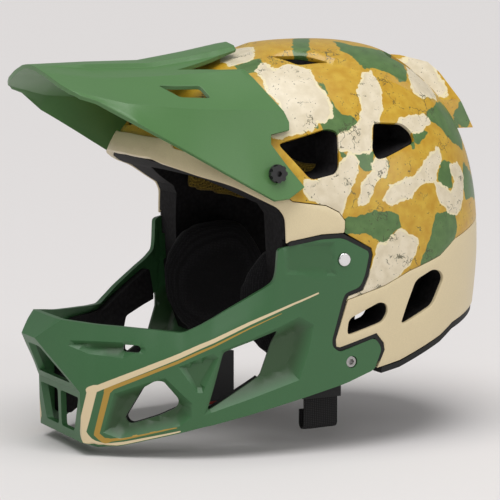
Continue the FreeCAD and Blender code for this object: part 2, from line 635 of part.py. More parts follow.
def buckle_tongue():
    """Toothed tongue sewn to the end of the left strap."""
    x1 = STRAP_X - FOLD_GAP
    x0 = x1 - TONGUE_WALL
    body = box(x0, x1, STRAP_Y - 8, STRAP_Y + 8, -88, -64)
    for i in range(7):
        z = -84 + 2.6 * i
        tooth = box(x1 - TONGUE_DEPTH, x0 + 0.6, STRAP_Y - 6, STRAP_Y + 6, z, z + 1.2)
        body = body.fuse(tooth)
    return body


def buckle_case():
    """Ratchet buckle body under the right strap."""
    x0, x1 = STRAP_X - 5.0, STRAP_X + 4.0
    y0, y1 = STRAP_Y - 13.5, STRAP_Y + 13.5
    z1 = BUCKLE_TOP
    z0 = z1 - BUCKLE_LENGTH
    body = box(x0, x1, y0, y1, z0, z1)
    channel = box(x0 + 2.0, x0 + 5.4, y0 + 4.5, y1 - 4.5, z0 - 1, z1 - 9)
    lever_bay = box(x0 + 5.4, x1 + 1, y0 + 4.5, y1 - 4.5, z0 - 1, z1 - 9)
    pin = Part.makeCylinder(1.5, 40, V(x0 + 7.0, STRAP_Y - 20, z1 - 13), V(0, 1, 0))
    return mirrored(body.cut([channel, lever_bay, pin]))


def buckle_pin():
    x0 = STRAP_X - 5.0
    body = Part.makeCylinder(1.48, 27, V(x0 + 7.0, STRAP_Y - 13.5, BUCKLE_TOP - 13), V(0, 1, 0))
    return mirrored(body)


def buckle_lever():
    """Sprung lever that lets the tongue out."""
    x0 = STRAP_X - 5.0
    z = BUCKLE_TOP - 13
    y0, y1 = STRAP_Y - 8.7, STRAP_Y + 8.7
    plate = box(x0 + 5.8, x0 + 8.2, y0, y1, z - 26, z)
    knuckle = Part.makeCylinder(2.6, y1 - y0, V(x0 + 7.0, y0, z), V(0, 1, 0))
    tab = box(x0 + 5.8, x0 + 10.2, y0, y1, z - 29, z - 25.4)
    bore = Part.makeCylinder(1.55, 40, V(x0 + 7.0, STRAP_Y - 20, z), V(0, 1, 0))
    return mirrored(plate.fuse([knuckle, tab]).cut(bore))


# ---- trim -----------------------------------------------------------------------------------
def neck_trim():
    """Rubber bead under the foam at the back of the neck."""
    outline = [(18, -59.2), (32, -56.3), (67, -43.1), (80, -35.8), (110, -28.8), (160, -26.8),
               (160, -30.8), (110, -32.8), (80, -39.8), (67, -47.1), (32, -60.3), (18, -63.2)]
    return skin(0.6, 12.0).common(side_prism(outline))


def both(shape):
    return shape, mirrored(shape)


parts = {}
parts["upper_shell"] = upper_shell()
parts["lower_shell"] = lower_shell()
parts["foam_liner"] = foam_liner()
parts["rear_cover"] = rear_cover()
parts["neck_trim"] = neck_trim()
parts["chin_bar_shell"] = chin_bar_shell()
parts["chin_pad"] = chin_pad()
parts["visor"] = visor()
parts["crown_pad"] = crown_pad()
parts["brow_pad"] = brow_pad()
parts["nape_pad"] = nape_pad()
for name, make in (("chin_seal", chin_seal), ("release_button", release_button), ("catch_clip", catch_clip),
                   ("lock_screw", lock_screw), ("visor_knob", visor_knob), ("visor_insert", visor_insert),
                   ("visor_washer", visor_washer), ("chin_bar_liner", chin_bar_liner),
                   ("temple_pad", temple_pad), ("cheek_pad", cheek_pad), ("strap_anchor", strap_anchor)):
    left, right = both(make())
    parts[name + "_left"] = left
    parts[name + "_right"] = right
studs = cheek_studs()
parts["cheek_studs_left"] = Part.makeCompound(studs)
parts["cheek_studs_right"] = Part.makeCompound([mirrored(s) for s in studs])
parts["strap_left"] = strap_left()
parts["strap_right"] = strap_right()
parts["strap_keeper"] = strap_keeper()
parts["buckle_tongue"] = buckle_tongue()
parts["buckle_case"] = buckle_case()
parts["buckle_pin"] = buckle_pin()
parts["buckle_lever"] = buckle_lever()

os.makedirs("parts", exist_ok=True)
for name, shape in parts.items():
    print(name, len(shape.Solids), round(shape.Volume / 1000, 2), "cm3", shape.isValid())
    shape.exportStep("parts/" + name + ".step")
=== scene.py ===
import bpy
import bmesh
import math
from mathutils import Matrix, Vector
from mathutils.geometry import delaunay_2d_cdt


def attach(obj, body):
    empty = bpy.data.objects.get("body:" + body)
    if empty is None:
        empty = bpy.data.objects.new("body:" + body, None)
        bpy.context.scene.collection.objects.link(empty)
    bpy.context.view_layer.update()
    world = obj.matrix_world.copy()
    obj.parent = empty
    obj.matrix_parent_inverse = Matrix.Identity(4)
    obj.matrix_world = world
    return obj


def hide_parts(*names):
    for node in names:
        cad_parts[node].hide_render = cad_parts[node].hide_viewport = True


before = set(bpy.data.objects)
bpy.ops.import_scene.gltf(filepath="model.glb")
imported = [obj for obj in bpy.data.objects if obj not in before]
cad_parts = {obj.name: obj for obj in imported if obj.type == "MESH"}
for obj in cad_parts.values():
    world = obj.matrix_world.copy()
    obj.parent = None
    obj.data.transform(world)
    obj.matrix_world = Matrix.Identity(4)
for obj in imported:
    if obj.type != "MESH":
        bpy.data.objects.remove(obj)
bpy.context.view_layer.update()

# ---- Studio ---------------------------------------------------------------------------------
# A pale sheet of paper under and behind the helmet, a broad light overhead, a soft one behind and one beside
# it, and the camera, which looks at the wearer's left side, a little from in front and from above.

scene = bpy.context.scene
scene.view_settings.view_transform = "Standard"


def socket_called(thing, name):
    return next(s for s in thing.inputs if s.name.lower().replace(" ", "_") == name.lower())


def paint(material, colour, roughness=0.5, **sockets):
    """Set the plain values of a material's shader and return its nodes."""
    material.use_nodes = True
    tree = material.node_tree
    shader = tree.nodes.get("Principled BSDF")
    shader.inputs["Base Color"].default_value = (*colour, 1.0)
    shader.inputs["Roughness"].default_value = roughness
    for name, value in sockets.items():
        socket_called(shader, name).default_value = value
    return tree, shader


def node(tree, kind, **values):
    """Add a node; plain names are its settings, names ending in _in are its input sockets."""
    made = tree.nodes.new(kind)
    for name, value in values.items():
        if name.endswith("_in"):
            key = name[:-3]
            socket = made.inputs[int(key[1:])] if key[1:].isdigit() else socket_called(made, key)
            if isinstance(value, bpy.types.NodeSocket):
                tree.links.new(value, socket)
            else:
                socket.default_value = value
        else:
            setattr(made, name, value)
    return made


floor_height = -0.1135
bpy.ops.mesh.primitive_plane_add(size=60.0, location=(0, 0, floor_height))
floor = bpy.context.object
floor.name = "paper_floor"
paper = bpy.data.materials.new("paper")
paint(paper, (0.74, 0.715, 0.71), 0.9)
floor.data.materials.append(paper)

world = bpy.data.worlds.new("studio")
scene.world = world
world.use_nodes = True
sky = world.node_tree
fill = sky.nodes["Background"]
fill.inputs["Color"].default_value = (0.93, 0.925, 0.92, 1)
fill.inputs["Strength"].default_value = 0.36
# beyond the paper the same pale tone is seen, while the helmet is lit by the weaker fill
seen = node(sky, "ShaderNodeBackground", Color_in=(0.79, 0.765, 0.76, 1))
path = node(sky, "ShaderNodeLightPath")
either = node(sky, "ShaderNodeMixShader", p0_in=path.outputs["Is Camera Ray"], p1_in=fill.outputs[0],
              p2_in=seen.outputs[0])
sky.links.new(either.outputs[0], sky.nodes["World Output"].inputs["Surface"])


def soft_light(name, place, aim, size, power):
    lamp = bpy.data.lights.new(name, "AREA")
    lamp.shape = "DISK"
    lamp.size = size
    lamp.energy = power
    thing = bpy.data.objects.new(name, lamp)
    scene.collection.objects.link(thing)
    thing.location = place
    thing.rotation_euler = (Vector(aim) - Vector(place)).to_track_quat("-Z", "Y").to_euler()


overhead = bpy.data.lights.new("overhead_light", "SUN")
overhead.energy = 2.2
overhead.angle = math.radians(48)
roof = bpy.data.objects.new("overhead_light", overhead)
scene.collection.objects.link(roof)
roof.location = (0.35, -0.35, 1.7)
roof.rotation_euler = Vector((-0.35, 0.30, -1.7)).to_track_quat("-Z", "Y").to_euler()
soft_light("rear_light", (1.5, 0.9, 0.7), (0, 0.02, 0.0), 0.8, 5.0)
soft_light("side_light", (1.5, -0.9, 0.9), (0, -0.05, 0.0), 0.8, 3.0)

view_side, view_rise, view_range = math.radians(63.0), math.radians(7.5), 1.6
aim = Vector((0.0, -0.028, 0.010))
back = Vector((math.sin(view_side) * math.cos(view_rise), -math.cos(view_side) * math.cos(view_rise),
               math.sin(view_rise)))
lens = bpy.data.cameras.new("camera")
lens.sensor_width = 36.0
lens.lens = 167.0
lens.clip_end = 50.0
camera = bpy.data.objects.new("camera", lens)
scene.collection.objects.link(camera)
camera.location = aim + back * view_range
camera.rotation_euler = back.to_track_quat("Z", "Y").to_euler()
scene.camera = camera

# ---- Foam liner -----------------------------------------------------------------------------
# One moulding of black bead foam, about 25 mm thick, bonded inside both shells. It shows through the vents
# and round the face opening. Its moulded shape is kept as built; the finish is fine beads.


def coat(name, colour, roughness, **sockets):
    """A new material with its nodes, its shader and the place on the piece."""
    material = bpy.data.materials.new(name)
    tree, shader = paint(material, colour, roughness, **sockets)
    return material, tree, shader, node(tree, "ShaderNodeTexCoord").outputs["Object"]


def raised(tree, shader, height, strength, depth, invert=False):
    bump = node(tree, "ShaderNodeBump", Strength_in=strength, Distance_in=depth, Height_in=height, invert=invert)
    tree.links.new(bump.outputs["Normal"], shader.inputs["Normal"])


def bead_foam(name, colour, beads_per_metre=360.0):
    material, tree, shader, place = coat(name, colour, 0.78, specular_ior_level=0.15)
    beads = node(tree, "ShaderNodeTexVoronoi", Vector_in=place, Scale_in=beads_per_metre)
    shade = node(tree, "ShaderNodeValToRGB", Fac_in=beads.outputs["Distance"])
    shade.color_ramp.elements[0].color = (*[c * 1.5 for c in colour], 1)
    shade.color_ramp.elements[1].color = (*[c * 0.5 for c in colour], 1)
    tree.links.new(shade.outputs["Color"], shader.inputs["Base Color"])
    raised(tree, shader, beads.outputs["Distance"], 0.35, 0.0004, True)
    return material


def finish(name, material):
    """Give a built part its finish."""
    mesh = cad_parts[name].data
    mesh.materials.clear()
    mesh.materials.append(material)
    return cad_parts[name]


black_foam = bead_foam("black_bead_foam", (0.012, 0.011, 0.012))
finish("foam_liner", black_foam)

# ---- Upper shell ----------------------------------------------------------------------------
# Thin printed shell over the crown, sides and back, open at the vents, with a raised band along the crown.
# It is made as a sheet over the same rounded form as the foam, then given its thickness and soft edges.

MM = 0.001
FORM_MIDDLE = Vector((0.0, 16.0, 10.0))
FORM_HALF_WIDTH, FORM_FRONT, FORM_BACK, FORM_RISE = 108.5, 150.0, 118.0, 142.0
PLAN_POWER, RISE_POWER = 2.2, 2.45
SKIRT_TUCK = 0.10
BELOW = 190.0             # length of side wall that one unit of the flat map covers below the widest level


def clamped(share):
    return max(0.0, min(1.0, share))


def form_point(u, v):
    """Flat map of the form: the crown is at (0, 0) and the widest level is the circle of radius 1."""
    r = math.hypot(u, v)
    turn = math.atan2(v, u)
    lean = min(r, 1.0) * math.pi / 2
    a, b, c = math.sin(lean) * math.cos(turn), math.sin(lean) * math.sin(turn), math.cos(lean)
    plan = (abs(a) ** PLAN_POWER + abs(b) ** PLAN_POWER) ** (1 / PLAN_POWER)
    share = 1 / (plan ** RISE_POWER + c ** RISE_POWER) ** (1 / RISE_POWER)
    reach = FORM_BACK if b > 0 else FORM_FRONT
    z = c * share * FORM_RISE + FORM_MIDDLE.z
    if r > 1.0:
        drop = (r - 1.0) * BELOW
        share *= 1 - SKIRT_TUCK * (drop / 100.0) ** 1.5
        z = FORM_MIDDLE.z - drop
    return Vector((a * share * FORM_HALF_WIDTH, b * share * reach + FORM_MIDDLE.y, z))


def form_normal(u, v):
    step = 0.002
    du = form_point(u + step, v) - form_point(u - step, v)
    dv = form_point(u, v + step) - form_point(u, v - step)
    return du.cross(dv).normalized()


def form_map(p):
    """Flat map place of a point near the form."""
    a = p[0] / FORM_HALF_WIDTH
    b = (p[1] - FORM_MIDDLE.y) / (FORM_BACK if p[1] > FORM_MIDDLE.y else FORM_FRONT)
    turn = math.atan2(b, a)
    if p[2] >= FORM_MIDDLE.z:
        r = math.atan2(math.hypot(a, b), (p[2] - FORM_MIDDLE.z) / FORM_RISE) / (math.pi / 2)
    else:
        r = 1 + (FORM_MIDDLE.z - p[2]) / BELOW
    return (r * math.cos(turn), r * math.sin(turn))


def level_share(z):
    if z >= FORM_MIDDLE.z:
        return max(0.0, 1 - ((z - FORM_MIDDLE.z) / FORM_RISE) ** RISE_POWER) ** (1 / RISE_POWER)
    return 1 - SKIRT_TUCK * ((FORM_MIDDLE.z - z) / 100.0) ** 1.5


def form_x(y, z):
    """Half width of the form at this place of the side view."""
    k = level_share(z)
    reach = (FORM_BACK if y > FORM_MIDDLE.y else FORM_FRONT) * k
    return FORM_HALF_WIDTH * k * max(0.0, 1 - (abs(y - FORM_MIDDLE.y) / reach) ** PLAN_POWER) ** (1 / PLAN_POWER)


def side_map(y, z):
    """Flat map place of a point of the side view, on the wearer's left."""
    return form_map((form_x(y, z), y, z))


def top_map(x, y):
    """Flat map place of a point seen from above."""
    a = x / FORM_HALF_WIDTH
    b = (y - FORM_MIDDLE.y) / (FORM_BACK if y > FORM_MIDDLE.y else FORM_FRONT)
    plan = (abs(a) ** PLAN_POWER + abs(b) ** PLAN_POWER) ** (1 / PLAN_POWER)
    rise = FORM_RISE * max(0.0, 1 - plan ** RISE_POWER) ** (1 / RISE_POWER)
    return form_map((x, y, FORM_MIDDLE.z + rise))


def spread(points, step, closed=True):
    """The outline with extra points on its long runs."""
    result = []
    count = len(points)
    for i in range(count if closed else count - 1):
        a, b = Vector(points[i]), Vector(points[(i + 1) % count])
        cuts = max(1, round((b - a).length / step))
        result += [tuple(a.lerp(b, k / cuts)) for k in range(cuts)]
    if not closed:
        result.append(tuple(points[-1]))
    return result


def soften(points, radius, steps=4, closed=True):
    """The outline with its corners turned into arcs."""
    result = []
    count = len(points)
    for i in range(count):
        here = Vector(points[i])
        if not closed and i in (0, count - 1):
            result.append(tuple(here))
            continue
        a, b = Vector(points[i - 1]) - here, Vector(points[(i + 1) % count]) - here
        reach = min(radius, 0.45 * a.length, 0.45 * b.length)
        a.normalize()
        b.normalize()
        for k in range(steps + 1):
            t = k / steps
            result.append(tuple(here + a * reach * (1 - t) ** 2 + b * reach * t ** 2))
    return result


def inside(point, outline):
    x, y = point
    found = False
    j = len(outline) - 1
    for i in range(len(outline)):
        xi, yi = outline[i]
        xj, yj = outline[j]
        if (yi > y) != (yj > y) and x < (xj - xi) * (y - yi) / (yj - yi) + xi:
            found = not found
        j = i
    return found


def edge_gap(point, a, b):
    px, py = point[0] - a[0], point[1] - a[1]
    dx, dy = b[0] - a[0], b[1] - a[1]
    span = dx * dx + dy * dy
    t = 0.0 if span == 0 else max(0.0, min(1.0, (px * dx + py * dy) / span))
    return math.hypot(px - t * dx, py - t * dy)


def outline_gap(point, outline):
    """Distance from the outline's edge, more than 0 inside it."""
    gap = min(edge_gap(point, outline[k - 1], outline[k]) for k in range(len(outline)))
    return gap if inside(point, outline) else -gap


def link_mesh(name, shape):
    """The finished shape as an object."""
    mesh = bpy.data.meshes.new(name)
    bmesh.ops.recalc_face_normals(shape, faces=shape.faces)
    shape.to_mesh(mesh)
    shape.free()
    thing = bpy.data.objects.new(name, mesh)
    scene.collection.objects.link(thing)
    return thing


def shade_smooth(thing, crisp):
    """Smooth shading, with edges kept sharp beyond this angle in degrees."""
    for polygon in thing.data.polygons:
        polygon.use_smooth = True
    thing.data.set_sharp_from_angle(angle=math.radians(crisp))


def sheet_mesh(name, outline, holes, lines, place, step, edge=0.7, sharp=32.0, crisp=40.0):
    """A sheet with thickness: outline, holes and crease lines are on the flat map, and place() gives the
    outer and the inner point, in millimetres, of each flat point."""
    flat = []
    edges = []
    walls = []
    for loop, closed in [(outline, True)] + [(h, True) for h in holes] + [(l, False) for l in lines]:
        start = len(flat)
        flat += [Vector(p) for p in loop]
        count = len(loop)
        for i in range(count if closed else count - 1):
            j = (i + 1) % count
            edges.append((start + i, start + j))
            walls.append((loop[i], loop[j]))
    low_u, high_u = min(p[0] for p in outline), max(p[0] for p in outline)
    low_v, high_v = min(p[1] for p in outline), max(p[1] for p in outline)
    cell = step * 2
    near = {}
    for k, (a, b) in enumerate(walls):
        for gu in range(int((min(a[0], b[0]) - step) // cell), int((max(a[0], b[0]) + step) // cell) + 1):
            for gv in range(int((min(a[1], b[1]) - step) // cell), int((max(a[1], b[1]) + step) // cell) + 1):
                near.setdefault((gu, gv), []).append(k)
    rows = int((high_v - low_v) / (step * 0.866)) + 1
    for row in range(rows + 1):
        v = low_v + row * step * 0.866
        shift = 0.5 * step * (row % 2)
        for col in range(int((high_u - low_u) / step) + 2):
            point = (low_u + col * step + shift, v)
            if not inside(point, outline) or any(inside(point, h) for h in holes):
                continue
            close = near.get((int(point[0] // cell), int(point[1] // cell)), ())
            if any(edge_gap(point, *walls[k]) < 0.55 * step for k in close):
                continue
            flat.append(Vector(point))
    verts, _, faces, _, _, _ = delaunay_2d_cdt(flat, edges, [], 0, 1e-7)
    kept = []
    for face in faces:
        middle = sum((verts[i] for i in face), Vector((0, 0))) / len(face)
        if inside(middle, outline) and not any(inside(middle, h) for h in holes):
            kept.append(face)
    used = sorted({i for face in kept for i in face})
    number = {i: k for k, i in enumerate(used)}
    shape = bmesh.new()
    pairs = [place(verts[i][0], verts[i][1]) for i in used]
    outer = [shape.verts.new(p[0] * MM) for p in pairs]
    inner = [shape.verts.new(p[1] * MM) for p in pairs]
    sides = {}
    for face in kept:
        a, b, c = (number[i] for i in face)
        n = (pairs[b][0] - pairs[a][0]).cross(pairs[c][0] - pairs[a][0])
        if n.dot(pairs[a][0] - pairs[a][1]) < 0:
            b, c = c, b
        shape.faces.new((outer[a], outer[b], outer[c]))
        shape.faces.new((inner[a], inner[c], inner[b]))
        for i, j in ((a, b), (b, c), (c, a)):
            if (j, i) in sides:
                del sides[(j, i)]
            else:
                sides[(i, j)] = True
    for i, j in sides:
        shape.faces.new((outer[j], outer[i], inner[i], inner[j]))
    thing = link_mesh(name, shape)
    rounding = thing.modifiers.new("rounded_edges", "BEVEL")
    rounding.width = edge * MM
    rounding.segments = 2
    rounding.limit_method = "ANGLE"
    rounding.angle_limit = math.radians(sharp)
    rounding.harden_normals = False
    with bpy.context.temp_override(object=thing, active_object=thing, selected_objects=[thing]):
        bpy.context.view_layer.objects.active = thing
        bpy.ops.object.modifier_apply(modifier="rounded_edges")
    shade_smooth(thing, crisp)
    return thing


def mirror_side(points):
    return [(-p[0], p[1]) for p in reversed(points)]


SIDE_STEP = 5.0
chin_lug_gap = [(-57.5, 27), (-29, 32.2), (-12.6, 32.8), (6.2, 22), (7.4, 17.2), (4.6, 3.2), (0.6, -6),
                (-9.6, -9.3), (-11.2, -12.2), (-17.2, -38), (-16.6, -42.6), (-14, -43.3), (12.2, -35.4),
                (18.3, -42.4), (19.4, -47.4), (14.6, -59.4)]
rear_split = [(-10.2, -11.1), (16.7, -3.2), (36.1, 5.4), (62.6, 13.2), (78.3, 23), (98.8, 28.5), (118, 33)]
front_split = [(-118, 91.2), (-107, 87), (-75, 74), (-54, 61), (-47, 54.5), (-25, 51.3), (-16.5, 46.8),
               (-12.3, 41), (-12.8, 33.5)]
front_middle_split, rear_middle_split = 93.5, 34.5
side_vents = {"front": [(-52, 91), (-18, 100), (-10.6, 98), (-14, 74.6), (-17.3, 71), (-34, 67.4)],
              "rear": [(16.7, 103), (39.4, 101.5), (46, 95.4), (47, 89), (20.5, 79.8), (14.2, 79), (11.6, 85.3)],
              "ear": [(-9, -24.5), (13.4, -14.4), (18.9, -16.2), (20, -21.7), (16.6, -28.2), (-9.5, -36)],
              "nape": [(41.4, -1.7), (56.2, 4.3), (64, 2.2), (67.3, -3), (57.8, -20.4), (34.1, -30.3), (31, -30),
                       (34.8, -18.1)]}
top_vent = [(33.5, -30), (42.5, -12), (54, 4.4), (52.5, -19)]
rear_top_vent = [(26, 58), (30, 92), (48, 84), (44, 54)]


def side_run(points, step=SIDE_STEP):
    """Flat map of an open line drawn on the side view."""
    return [side_map(y, z) for y, z in spread(points, step, False)]


def vent_holes(names, tops=()):
    holes = []
    for name in names:
        loop = [side_map(y, z) for y, z in spread(soften(side_vents[name], 4.0), SIDE_STEP)]
        holes += [loop, mirror_side(loop)]
    for outline in tops:
        loop = [top_map(x, y) for x, y in spread(soften(outline, 4.0), SIDE_STEP)]
        holes += [loop, mirror_side(loop)]
    return holes


def front_hole(outline):
    """Map a vent drawn on the front or back view, from (x, z)."""
    result = []
    for x, z, reach in outline:
        k = level_share(z)
        y = FORM_MIDDLE.y + reach * k * (1 - (abs(x) / (FORM_HALF_WIDTH * k)) ** PLAN_POWER) ** (1 / PLAN_POWER)
        result.append(form_map((x, y, z)))
    return result


def face_vents(outline, reach):
    loop = front_hole([(x, z, reach) for x, z in spread(soften(outline, 3.0), SIDE_STEP)])
    return [loop, mirror_side(loop)]


LUG_STEP = 3.0            # closer points round the chin bar's lugs
left_lower = side_run(front_split)
left_lower += side_run([(-12.9, 32.9)] + chin_lug_gap[3:9] + [(-10.4, -10.6)], LUG_STEP)
left_lower += side_run(rear_split)
front_end = front_hole([(x, front_middle_split - 0.03 * x, -FORM_FRONT) for x in (0, 8, 16, 24, 32)])
rear_end = front_hole([(x, rear_middle_split - 0.02 * x, FORM_BACK) for x in (52, 40, 28, 14, 0)])
left_half = front_end + left_lower[1:] + rear_end
upper_outline = left_half + mirror_side(left_half[1:-1])

crown_line = [(22, -46), (30, -32), (44, -11), (56, 8), (64, 26), (70, 50), (72, 72)]
CROWN_LIFT = 2.6


def crown_lift(x, y):
    """Height of the raised band along the crown, which ends in a soft step along crown_line."""
    if y < crown_line[0][1]:
        return 0.0
    if y > crown_line[-1][1]:
        edge_x = crown_line[-1][0]
    else:
        for (xa, ya), (xb, yb) in zip(crown_line, crown_line[1:]):
            if ya <= y <= yb:
                edge_x = xa + (xb - xa) * (y - ya) / (yb - ya)
                break
    rise = clamped((edge_x - abs(x)) / 2.2)
    ends = clamped((y + 32) / 14) * clamped((88 - y) / 30)
    return CROWN_LIFT * rise * ends


def shell_place(wall):
    def place(u, v):
        p, n = form_point(u, v), form_normal(u, v)
        return p + n * crown_lift(p.x, p.y), p - n * wall
    return place


crown_run = spread(soften(crown_line, 8, 4, False), SIDE_STEP, False)
crease_foot = [top_map(x + 0.3, y) for x, y in crown_run]
crease_top = [top_map(x - 2.4, y) for x, y in crown_run]
upper_holes = vent_holes(("front", "rear"), (top_vent, rear_top_vent))
upper_holes += face_vents([(9, 99), (46, 95), (44, 110), (10, 113)], -FORM_FRONT)
upper_holes += face_vents([(8, 78), (34, 74), (32, 92), (8, 95)], FORM_BACK)


def clear_runs(lines, free):
    """The stretches of the lines on which every point is free."""
    result = []
    for line in lines:
        run = []
        for p in line + [None]:
            if p is not None and free(p):
                run.append(p)
                continue
            if len(run) > 1:
                result.append(run)
            run = []
    return result


def off_vents(p):
    return not any(inside(p, h) or min(math.hypot(p[0] - q[0], p[1] - q[1]) for q in h) < 0.02 for h in upper_holes)


lines = clear_runs([crease_foot, crease_top, mirror_side(crease_foot), mirror_side(crease_top)], off_vents)
upper = sheet_mesh("upper_shell_skin", upper_outline, upper_holes, lines, shell_place(2.4), 0.018, 0.8)
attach(upper, "shell")
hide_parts("upper_shell")

# The print: cream and green patches over ochre, drawn on the flat map in hundredths, and turned half round
# for the other side. Every point of the sheet keeps its distance to the nearest edge of each colour.
cream_patches = [
    [(-8, -24), (-10, -21), (2, -19), (17, -24), (18, -27), (16, -30), (7, -30)],
    [(23, -23), (31, -22), (29, -19), (29, -17), (32, -15), (35, -13), (40, -13), (43, -13), (48, -12),
     (51, -12), (54, -13), (55, -16), (54, -18), (56, -20), (56, -24), (55, -29), (54, -32), (51, -33),
     (50, -30), (50, -27), (44, -26), (38, -27), (31, -26), (26, -26)],
    [(38, 4), (38, 7), (41, 8), (47, 8), (52, 6), (57, 3), (58, 0), (66, -3), (67, -6), (65, -12), (64, -14),
     (61, -13), (60, -8), (59, -5), (54, -2), (46, -1), (42, 2)],
    [(67, -10), (69, -8), (72, -9), (77, -13), (80, -16), (84, -18), (80, -22), (76, -26), (73, -29), (70, -28),
     (71, -23), (70, -16), (68, -13)],
    [(69, -2), (69, 3), (72, 4), (74, 1), (73, -2), (71, -3)],
    [(73, -4), (73, -1), (78, -4), (81, -7), (81, -10), (76, -8)],
    [(81, 0), (78, 3), (76, 9), (74, 16), (70, 21), (67, 24), (63, 28), (60, 32), (63, 33), (68, 30), (71, 30),
     (73, 23), (75, 20), (79, 15), (82, 6), (82, 2)],
    [(62, 40), (57, 46), (58, 51), (67, 51), (74, 47), (76, 42), (76, 37), (75, 32), (72, 30), (71, 33),
     (70, 42), (64, 44), (64, 40)],
    [(57, 12), (54, 18), (51, 27), (52, 29), (57, 23), (59, 18), (58, 15)],
    [(24, 29), (16, 37), (21, 40), (37, 38), (43, 27), (42, 23), (37, 24)],
    [(94, -3), (94, 1), (91, 5), (90, 8), (90, 14), (91, 21), (95, 20), (99, 16), (105, 7), (108, -2),
     (111, -13), (111, -21), (108, -17), (104, -10), (99, -5)],
]
green_patches = [
    [(-2, -4), (-2, 2), (27, -10), (25, -14)],
    [(10, 5), (19, 8), (19, 19), (12, 29), (22, 26), (27, 27), (41, 21), (41, 18), (39, 15), (37, 10), (37, 4),
     (30, 3), (25, 1)],
    [(33, -11), (39, -11), (47, -11), (53, -10), (55, -7), (57, -5), (59, -5), (61, -10), (60, -13), (58, -16),
     (56, -20), (55, -16), (54, -13), (51, -11), (46, -12), (42, -13), (37, -12)],
    [(65, -14), (66, -9), (67, -2), (71, -2), (73, -4), (72, -8), (69, -8), (67, -10), (68, -14)],
    [(84, -18), (84, -6), (84, 1), (85, 8), (88, 10), (91, 5), (95, 0), (92, -3), (90, -9), (89, -14), (89, -19)],
    [(50, 27), (34, 42), (31, 50), (34, 56), (47, 52), (52, 42), (51, 35), (52, 30)],
    [(59, 18), (55, 28), (60, 24), (66, 16), (66, 12), (62, 18)],
    [(64, 33), (60, 40), (68, 42), (71, 36), (70, 31)],
    [(81, 31), (73, 46), (79, 50), (89, 42), (96, 31), (99, 23), (89, 29)],
    [(69, 3), (69, 6), (73, 4), (75, 1)],
    [(17, -30), (19, -22), (29, -25), (24, -30)],
    [(52, 51), (45, 65), (47, 71), (64, 55), (62, 50)],
]
back_patches = {"cream": [[(-6, 62), (8, 58), (22, 66), (16, 76), (4, 74), (-2, 82), (-12, 76)],
                          [(18, 92), (34, 82), (46, 78), (50, 86), (38, 96), (28, 108), (16, 104)],
                          [(-44, 84), (-30, 88), (-22, 98), (-34, 112), (-46, 102)],
                          [(-58, 66), (-50, 60), (-46, 70), (-54, 78)]],
                "green": [[(-4, 92), (8, 86), (14, 98), (4, 112), (-10, 110), (-14, 100)],
                          [(28, 66), (40, 58), (48, 66), (38, 78), (30, 78)],
                          [(-34, 62), (-20, 58), (-12, 66), (-24, 80), (-36, 76)],
                          [(-66, 82), (-52, 90), (-56, 104), (-68, 96)], [(48, 98), (62, 88), (66, 96), (54, 108)]]}


MAP_SCALE = 1.6           # millimetres in a hundredth of the flat map


def add_print(thing):
    for name, patches in (("cream", cream_patches), ("green", green_patches)):
        both = patches + [[(-u, 22 - v) for u, v in patch] for patch in patches] + back_patches[name]
        reach = [(min(p[0] for p in q) - 4, max(p[0] for p in q) + 4, min(p[1] for p in q) - 4,
                  max(p[1] for p in q) + 4) for q in both]
        values = []
        for vertex in thing.data.vertices:
            place = vertex.co / MM
            u, v = form_map((place.x, place.y, place.z))
            u, v = u * 100, v * 100
            best = -6.0
            for patch, (a, b, c, d) in zip(both, reach):
                if a < u < b and c < v < d:
                    best = max(best, outline_gap((u, v), patch) * MAP_SCALE)
            values.append(best)
        layer = thing.data.attributes.new(name, "FLOAT", "POINT")
        layer.data.foreach_set("value", values)


def noise(tree, place, scale, detail=2.0):
    return node(tree, "ShaderNodeTexNoise", Vector_in=place, Scale_in=scale, Detail_in=detail).outputs["Fac"]


def soft_step(tree, value, low, high):
    return node(tree, "ShaderNodeMapRange", Value_in=value, from_min_in=low, from_max_in=high).outputs["Result"]


def blend_colour(tree, share, first, second):
    mix = node(tree, "ShaderNodeMix", data_type="RGBA")
    tree.links.new(share, mix.inputs[0])
    for socket, value in ((mix.inputs[6], first), (mix.inputs[7], second)):
        if isinstance(value, bpy.types.NodeSocket):
            tree.links.new(value, socket)
        else:
            socket.default_value = (*value, 1)
    return mix.outputs[2]


def sums(tree, how, a, b):
    made = node(tree, "ShaderNodeMath", operation=how)
    for socket, value in zip(made.inputs, (a, b)):
        if isinstance(value, bpy.types.NodeSocket):
            tree.links.new(value, socket)
        else:
            socket.default_value = value
    return made.outputs[0]


